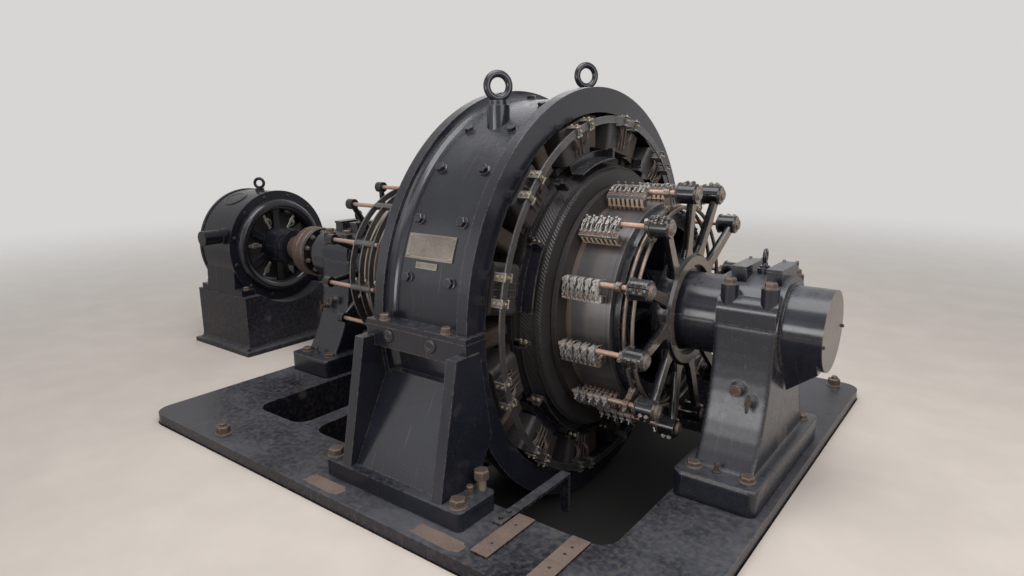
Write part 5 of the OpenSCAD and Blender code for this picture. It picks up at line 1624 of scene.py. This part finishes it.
    def dress(self) -> None:
        """Gives the brush gear its finishes."""
        self.finish_node("rocker_star", Finishes.ROCKER)
        self.finish_node("brush_spindles", Finishes.COPPER)
        self.finish_node("brush_holders", Finishes.PLATED)
        self.finish_node("brushes", Finishes.CARBON)
        self.finish_node("connection_rings", Finishes.RINGS)
        self.finish_node("ac_star", Finishes.BLACK)
        self.finish_node("ac_spindles", Finishes.COPPER)
        self.finish_node("collecting_rings", Finishes.STRAP)
        self.finish_node("ac_brushes", Finishes.CARBON)


@dataclass
class Pedestals(SubAssembly):
    """The two pedestal bearings with their lids, fittings and bolts."""

    middles: Range = (1.120, -1.600)
    cap_bolts: Spot = (0.086, 0.180)
    cap_bolt_seat: float = 1.292
    cap_bolt: Bolt = Bolt(0.047, 0.022)
    base_bolts: Spot = (0.116, 0.402)
    base_top: float = 0.516
    base_bolt: Bolt = Bolt(0.054, 0.020)
    pin_reach: float = -0.015
    pin_profile: Profile = ((0.019, 0), (0.019, 0.007), (0.010, 0.009), (0.009, 0.034),
                            (0.013, 0.036), (0.011, 0.046))
    barrel_end: float = 0.135
    cap_joint: float = 1.120
    cap_seam: Box = ((-0.1275, -0.0008, -0.0014), (0.1275, 0.0008, 0.0014))
    cap_seam_reach: float = 0.2223
    cover_radius: float = 0.179
    cover_length: float = 0.170
    cover_seam: Box = ((0.0, -0.0008, -0.0012), (0.0, 0.0008, 0.0012))
    cover_seam_ends: Range = (0.004, -0.002)
    packing: RingSize = (0.010, 0.0005, 0.006)
    gauge_reach: float = 0.030
    gauge_height: float = 0.850
    gauge_ring: RingSize = (0.026, 0.0155, 0.007)
    gauge_screws: int = 3
    gauge_screw_spot: Spot = (0.0205, 0.006)
    gauge_screw: Bolt = Bolt(0.007, 0.004)
    # The cock's places count from the bearing's middle and the fittings' front
    cock_x: float = 0.062
    cock_nut: Spot = (0.010, 0.808)
    cock_nut_size: Size = (0.015, 0.008)
    cock_handle: Route = ((0.0, 0.002, 0.812), (0.0, -0.004, 0.825), (0.0, -0.004, 0.845))
    cock_handle_radius: float = 0.0045
    cock_spout: Spot = (0.004, 0.800)
    cock_spout_profile: Profile = ((0.007, 0), (0.008, 0.010), (0.006, 0.026), (0.004, 0.030))
    eye_seat: float = 1.3335
    eye_turn: float = 98.0
    eye_foot: Profile = ((0.030, -0.004), (0.030, 0.008), (0.022, 0.010), (0.022, 0.018),
                         (0.013, 0.022), (0.011, 0.034))
    eye_height: float = 0.062
    eye_radii: Size = (0.026, 0.0085)
    # Across, and from the shaft's height
    cover_screws: tuple[Spot, ...] = ((-0.166, -0.030), (0.166, -0.012))
    cover_screw: Bolt = Bolt(0.013, 0.008)

    def bolts(self) -> None:
        """Builds cap bolts, base bolts and the dowel pins between them."""
        shape, pins = Shape(), Shape()
        cap_x, cap_y = self.cap_bolts
        base_x, base_y = self.base_bolts
        for middle in self.middles:
            for side in SIDES:
                for end in SIDES:
                    shape.bolt(at(middle + end * cap_x, side * cap_y, self.cap_bolt_seat),
                               self.cap_bolt)
                    shape.bolt(at(middle + end * base_x, side * base_y, self.base_top),
                               self.base_bolt)
                pins.lathe(self.pin_profile,
                           at(middle + self.pin_reach, side * base_y, self.base_top), 18)
        shape.piece("pedestal_bolts", Finishes.RUST)
        pins.piece("dowel_pins", Finishes.STRIP)

    def joints(self) -> None:
        """Draws the dark joints of caps, barrels and covers as thin packing strips."""
        shape = Shape()
        first, last = self.cover_seam_ends
        outer, inner, thickness = self.packing
        for middle, way in zip(self.middles, (1, -1)):
            end = self.barrel_end
            seam = sorted((middle + way * (end + first),
                           middle + way * (end + self.cover_length + last)))
            low, high = ((x, *corner[1:]) for x, corner in zip(seam, self.cover_seam))
            for side in SIDES:
                shape.block(self.cap_seam, (middle, side * self.cap_seam_reach, self.cap_joint),
                            chamfer=0.0004)
                shape.block((low, high), (0.0, side * self.cover_radius, SHAFT_HEIGHT),
                            chamfer=0.0004)
            start = middle + way * end - (thickness if way < 0 else 0)
            shape.ring(self.cover_radius + outer, self.cover_radius + inner, thickness,
                       along_x(start, 0, SHAFT_HEIGHT), 72)
        shape.piece("joint_packing", Finishes.BLACK)

    def fittings(self) -> None:
        """Builds flanges, nuts and handles of the oil gauges and drain cocks."""
        shape = Shape()
        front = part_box("oil_fittings")[0].y
        for middle, way in zip(self.middles, (1, -1)):
            gauge = at(middle, front + self.gauge_reach, self.gauge_height) @ spin("X", 90)
            shape.ring(*self.gauge_ring, gauge, 28)
            reach, seat = self.gauge_screw_spot
            for k in range(self.gauge_screws):
                turn = Matrix.Rotation(math.tau * k / self.gauge_screws + 0.4, 4, "Z")
                shape.bolt(gauge @ turn @ at(reach, 0, seat), self.gauge_screw)
            x = middle + way * self.cock_x
            nut_y, nut_z = self.cock_nut
            radius, height = self.cock_nut_size
            shape.prism(polygon(radius), height, at(x, front + nut_y, nut_z) @ spin("X", 90))
            shape.tube(self.cock_handle, self.cock_handle_radius, 8, (x, front, 0.0))
            spout_y, spout_z = self.cock_spout
            shape.lathe(self.cock_spout_profile, at(x, front + spout_y, spout_z)
                        @ spin("X", 180), 14)
        shape.piece("oil_gauge_parts", Finishes.STRIP)

    def eye_bolts(self) -> None:
        """Builds the small lifting eyes on the caps, turned nearly edge-on to the near side."""
        shape = Shape()
        radius, wire = self.eye_radii
        section = [(radius + x, y) for x, y in polygon(wire, 12)]
        for middle in self.middles:
            seat = at(middle, 0, self.eye_seat)
            shape.lathe(self.eye_foot, seat, 24)
            ring = seat @ at(0, 0, self.eye_height) @ spin("Z", self.eye_turn) @ spin("X", 90)
            shape.lathe(section, ring, 32, closed=True)
        shape.piece("cap_eye_bolts", Finishes.BLUE, replaces=("bearing_eyes",))

    def end_screws(self) -> None:
        """Builds the two screws at the rim of the outboard cover's end plate."""
        shape = Shape()
        face = self.middles[0] + self.barrel_end + self.cover_length
        for y, z in self.cover_screws:
            shape.bolt(along_x(face, y, SHAFT_HEIGHT + z), self.cover_screw)
        shape.piece("cover_screws", Finishes.BLACK)

    def build(self) -> None:
        """Builds bolts, joints and fittings."""
        self.bolts()
        self.joints()
        self.fittings()
        self.eye_bolts()
        self.end_screws()

    def dress(self) -> None:
        """Gives the castings and fittings their finishes."""
        for end in ("outboard", "inboard"):
            self.finish_node(end + "_pedestal", Finishes.PEDESTAL)
            self.finish_node(end + "_cap", Finishes.BLUE)
            self.finish_node(end + "_lid_a", Finishes.BLACK)
            self.finish_node(end + "_lid_b", Finishes.BLACK)
        self.finish_node("end_covers", Finishes.COVER)
        self.finish_node("bearing_shells", Finishes.BRASS)
        self.finish_node("bearing_eyes", Finishes.RUST)
        self.finish_node("oil_fittings", Finishes.STRIP)


@dataclass
class StartingMotor(SubAssembly):
    """The small motor on its plinth."""

    middle: float = -2.745
    half_length: float = 0.205
    drum_radius: float = 0.410
    feet: Spot = (0.246, 0.340)
    foot_top: float = 0.814
    foot_bolt: Bolt = Bolt(0.036, 0.020)
    rim_bolts: int = 12
    first_rim_bolt: float = 15.0
    rim_bolt_circle: float = 0.384
    rim_bolt: Bolt = Bolt(0.020, 0.010)
    # Place along the shaft, and angle from the top in degrees
    lid_spot: Spot = (-2.772, 28.0)
    lid_size: Size = (0.105, 0.082)
    # Share of the lid's size, and height above the drum
    lid_rows: Profile = ((1.0, -0.002), (1.0, 0.004), (0.95, 0.006), (0.84, 0.006), (0.80, 0.003),
                         (0.40, 0.003), (0.02, 0.003))
    lid_steps: int = 40
    holders: int = 6
    first_holder: float = 25.0
    holder_inset: float = 0.012
    holder_boxes: tuple[Box, ...] = (((-0.004, -0.010, 0.150), (0.004, 0.010, 0.262)),
                                     ((-0.012, -0.016, 0.205), (0.010, 0.016, 0.232)))
    holder_lead: Route = ((0.004, 0.012, 0.232), (0.014, 0.022, 0.215), (0.016, 0.020, 0.190),
                          (0.006, 0.012, 0.172))
    holder_wire: float = 0.003

    def bolts(self) -> None:
        """Builds the bolts of the feet and those round both end faces."""
        feet, rims = Shape(), Shape()
        for end in SIDES:
            for side in SIDES:
                feet.bolt(at(self.middle + end * self.feet[0], side * self.feet[1],
                             self.foot_top), self.foot_bolt)
            for k in range(self.rim_bolts):
                spot = turned(self.first_rim_bolt + k * 360 / self.rim_bolts,
                              self.middle + end * self.half_length, self.rim_bolt_circle)
                rims.bolt(at(*spot.translation) @ spin("Y", 90 * end), self.rim_bolt)
        feet.piece("motor_foot_bolts", Finishes.RUST)
        rims.piece("motor_rim_bolts", Finishes.MOTOR)

    def lid(self) -> None:
        """Builds the oval lid on the motor's drum."""
        shape = Shape()
        x0, angle = self.lid_spot
        half_x, half_y = self.lid_size
        points = [turned(angle + math.degrees(half_y * s * y / self.drum_radius),
                         x0 + half_x * s * x, self.drum_radius + rise).translation
                  for s, rise in self.lid_rows for x, y in polygon(1.0, self.lid_steps)]
        rows = len(self.lid_rows)
        shape.add(points, walls(rows, self.lid_steps) + caps(rows, self.lid_steps)[1:])
        shape.piece("motor_lid", Finishes.MOTOR)

    def brush_gear(self) -> None:
        """Builds the pale holders that show inside the motor's front ring."""
        shape = Shape()
        x = self.middle + self.half_length - self.holder_inset
        for k in range(self.holders):
            place = turned(self.first_holder + k * 360 / self.holders, x)
            for box in self.holder_boxes:
                shape.block(box, place=place)
            shape.tube([place @ Vector(p) for p in self.holder_lead], self.holder_wire, 6)
        shape.piece("motor_holders", Finishes.SPRING)

    def build(self) -> None:
        """Builds bolts, lid and holders."""
        self.bolts()
        self.lid()
        self.brush_gear()

    def dress(self) -> None:
        """Gives the motor its finishes."""
        self.finish_node("motor_plinth", Finishes.BED)
        self.finish_node("motor_frame", Finishes.MOTOR)
        self.finish_node("motor_end_rings", Finishes.BLACK)
        self.finish_node("motor_brackets", Finishes.MOTOR)


@dataclass(frozen=True)
class Lamp:
    """A soft rectangular lamp: place, width and height, watts, aim and beam in degrees."""

    name: str
    place: Point
    size: Size
    power: float
    aim: Point = (0.0, 0.0, 0.9)
    spread: float = 180.0

    def hang(self) -> None:
        """Hangs the lamp at its place, facing its aim."""
        light = bpy.data.lights.new(self.name, "AREA")
        light.shape = "RECTANGLE"
        light.size, light.size_y = self.size
        light.energy = self.power
        light.spread = math.radians(self.spread)
        made = bpy.data.objects.new(self.name, light)
        made.location = self.place
        way = Vector(self.aim) - Vector(self.place)
        made.rotation_euler = way.to_track_quat("-Z", "Y").to_euler()
        bpy.context.scene.collection.objects.link(made)


@dataclass
class Studio:
    """Floor, lamps and camera."""

    floor_level: float = 0.340
    floor_edge: float = 0.05
    floor_tones: tuple[Colour, Colour] = ((0.60, 0.53, 0.47), (0.66, 0.585, 0.52))
    floor_scale: float = 3.0
    floor_mask: Range = (0.3, 0.8)
    floor_rough: float = 0.75
    floor_grain: float = 160.0
    floor_bump: Size = (0.15, 0.001)
    floor_fade: Range = (2.6, 12.0)
    pit: tuple[float, float, float, float] = (-1.815, 1.335, -1.400, 1.400)
    pit_gap: float = 0.006
    corner: float = 0.100
    corner_steps: int = 7
    reach: float = 60.0
    bottom: tuple[Spot, ...] = ((-3.4, -1.5), (1.45, -1.5), (1.45, 1.5), (-3.4, 1.5))
    bottom_level: float = -0.002
    bottom_colour: Colour = (0.03, 0.028, 0.027)
    backdrop: Colour = (0.68, 0.67, 0.655)
    surrounding: Colour = (0.56, 0.60, 0.66)
    surrounding_strength: float = 0.38
    lamps: tuple[Lamp, ...] = (
        Lamp("lamp_over", (0.3, -0.7, 4.8), (3.4, 2.6), 105),
        Lamp("lamp_side", (5.5, -1.5, 3.2), (4.0, 3.0), 100),
        Lamp("lamp_low", (0.0, -4.6, 1.6), (2.4, 1.3), 14, (1.1, 0.0, 1.5), 90.0),
        Lamp("lamp_front", (-2.5, -5.5, 3.2), (5.0, 3.0), 20),
        Lamp("lamp_back", (-3.0, 4.5, 3.8), (5.0, 3.0), 50))
    sun_strength: float = 0.88
    sun_width: float = 55.0
    sun_tilt: tuple[float, float] = (24.0, 18.0)
    eye: Point = (2.0194, -3.0314, 1.9331)
    yaw: float = 37.33
    pitch: float = 12.89
    roll: float = -0.349
    focal: float = 23.85
    sensor: float = 36.0

    @staticmethod
    def seen(tree: bpy.types.NodeTree) -> bpy.types.NodeSocket:
        """Finds the rays that show the background: the camera's, reflected and refracted ones.

        Args:
            tree: The nodes of a material or world.

        Returns:
            A socket that is 1 for such a ray.
        """
        path = tree.nodes.new("ShaderNodeLightPath")
        found = path.outputs["Is Camera Ray"]
        for ray in ("Is Glossy Ray", "Is Transmission Ray"):
            either = tree.nodes.new("ShaderNodeMath")
            either.operation = "MAXIMUM"
            tree.links.new(found, either.inputs[0])
            tree.links.new(path.outputs[ray], either.inputs[1])
            found = either.outputs[0]
        return found

    def floor_material(self) -> bpy.types.Material:
        """Paints the floor, which fades into the plain background far away."""
        shader = Shader("pale_floor")
        tone = shader.mix(shader.ramp(shader.noise(self.floor_scale), *self.floor_mask),
                          *self.floor_tones)
        far = shader.node("ShaderNodeVectorMath", {0: shader.place}, operation="LENGTH")
        away = shader.ramp(far.outputs["Value"], *self.floor_fade)
        shader.put(Base_Color=tone, Roughness=self.floor_rough)
        shader.bump(shader.noise(self.floor_grain), *self.floor_bump)
        glow = shader.node("ShaderNodeEmission", {"Color": (*self.backdrop, 1.0)})
        blend = shader.node("ShaderNodeMixShader",
                            {0: shader.times(away, self.seen(shader.tree)),
                             1: shader.surface.outputs[0], 2: glow.outputs[0]})
        shader.tree.links.new(blend.outputs[0], shader.output.inputs[0])
        shader.material.cycles.emission_sampling = "NONE"
        return shader.material

    def lay(self, name: str, points: Sequence[Point], faces: Sequence[Sequence[int]],
            material: bpy.types.Material) -> None:
        """Lays a surface of the studio.

        Args:
            name: Its name.
            points: Its points.
            faces: Its faces.
            material: Its material.
        """
        mesh = bpy.data.meshes.new(name)
        mesh.from_pydata(points, [], faces)
        mesh.materials.append(material)
        made = bpy.data.objects.new(name, mesh)
        bpy.context.scene.collection.objects.link(made)

    def floor(self) -> None:
        """Lays a pale floor with an opening for the bedplate, and a dark bottom below it."""
        x0, x1, y0, y1 = self.pit
        r, top = self.corner, self.floor_level
        middles = ((x1 - r, y1 - r, 0), (x0 + r, y1 - r, 90), (x0 + r, y0 + r, 180),
                   (x1 - r, y0 + r, 270))
        step = 90 / (self.corner_steps - 1)
        inner = [(cx + (r + self.pit_gap) * math.cos(math.radians(a + step * i)),
                  cy + (r + self.pit_gap) * math.sin(math.radians(a + step * i)))
                 for cx, cy, a in middles for i in range(self.corner_steps)]
        outer = [(x * self.reach, y * self.reach) for x, y in
                 ((1, 1), (-1, 1), (-1, -1), (1, -1)) for _ in range(self.corner_steps)]
        count = len(inner)
        points = [(x, y, z) for z in (top, top - self.floor_edge) for x, y in inner]
        points += [(x, y, top) for x, y in outer]
        faces = []
        for i in range(count):
            n = (i + 1) % count
            faces.append((i, n, 2 * count + n, 2 * count + i))
            faces.append((i, count + i, count + n, n))
        self.lay("floor", points, faces, self.floor_material())
        dark = Shader("pit_bottom")
        dark.put(Base_Color=(*self.bottom_colour, 1.0), Roughness=0.9)
        self.lay("pit_bottom", [(x, y, self.bottom_level) for x, y in self.bottom],
                 [(0, 1, 2, 3)], dark.material)

    def light(self) -> None:
        """Hangs the lamps and sets a pale surrounding."""
        for lamp in self.lamps:
            lamp.hang()
        sun = bpy.data.objects.new("daylight", bpy.data.lights.new("daylight", "SUN"))
        sun.data.energy = self.sun_strength
        sun.data.angle = math.radians(self.sun_width)
        sun.rotation_euler = (*(math.radians(tilt) for tilt in self.sun_tilt), 0)
        bpy.context.scene.collection.objects.link(sun)
        world = bpy.data.worlds.new("surrounding")
        bpy.context.scene.world = world
        world.use_nodes = True
        tree = world.node_tree
        tree.nodes.clear()
        out = tree.nodes.new("ShaderNodeOutputWorld")
        mixed = tree.nodes.new("ShaderNodeMixShader")
        tree.links.new(self.seen(tree), mixed.inputs[0])
        for number, colour, strength in ((1, self.surrounding, self.surrounding_strength),
                                         (2, self.backdrop, 1.0)):
            plain = tree.nodes.new("ShaderNodeBackground")
            plain.inputs[0].default_value = (*colour, 1.0)
            plain.inputs[1].default_value = strength
            tree.links.new(plain.outputs[0], mixed.inputs[number])
        tree.links.new(mixed.outputs[0], out.inputs[0])

    def camera(self) -> None:
        """Sets the camera at eye level, beyond the commutator end."""
        yaw, pitch, roll = (math.radians(v) for v in (self.yaw, self.pitch, self.roll))
        back = Vector((math.sin(yaw) * math.cos(pitch), -math.cos(yaw) * math.cos(pitch),
                       math.sin(pitch)))
        right = (-back).cross(Vector((0, 0, 1))).normalized()
        up = right.cross(-back)
        side = right * math.cos(roll) + up * math.sin(roll)
        top = up * math.cos(roll) - right * math.sin(roll)
        made = bpy.data.objects.new("camera", bpy.data.cameras.new("camera"))
        made.data.lens = self.focal
        made.data.sensor_width = self.sensor
        made.data.sensor_fit = "HORIZONTAL"
        made.matrix_world = Matrix(((side.x, top.x, back.x, self.eye[0]),
                                    (side.y, top.y, back.y, self.eye[1]),
                                    (side.z, top.z, back.z, self.eye[2]), (0, 0, 0, 1)))
        bpy.context.scene.collection.objects.link(made)
        bpy.context.scene.camera = made
        bpy.context.scene.view_settings.view_transform = "Standard"

    def build(self) -> None:
        """Builds the whole studio."""
        self.floor()
        self.light()
        self.camera()


def main() -> None:
    """Builds the looks of the whole machine, from the bed up."""
    logging.basicConfig(level=logging.INFO, format="%(name)s: %(message)s")
    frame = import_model()
    nodes = frame["nodes"]
    for group in (Bedplate, Yoke, Field, Armature, BrushGear, Pedestals, StartingMotor):
        made = group(nodes)
        made.build()
        made.dress()
        LOG.info("built %s", group.__name__)
    Studio().build()


if __name__ == "__main__":
    main()
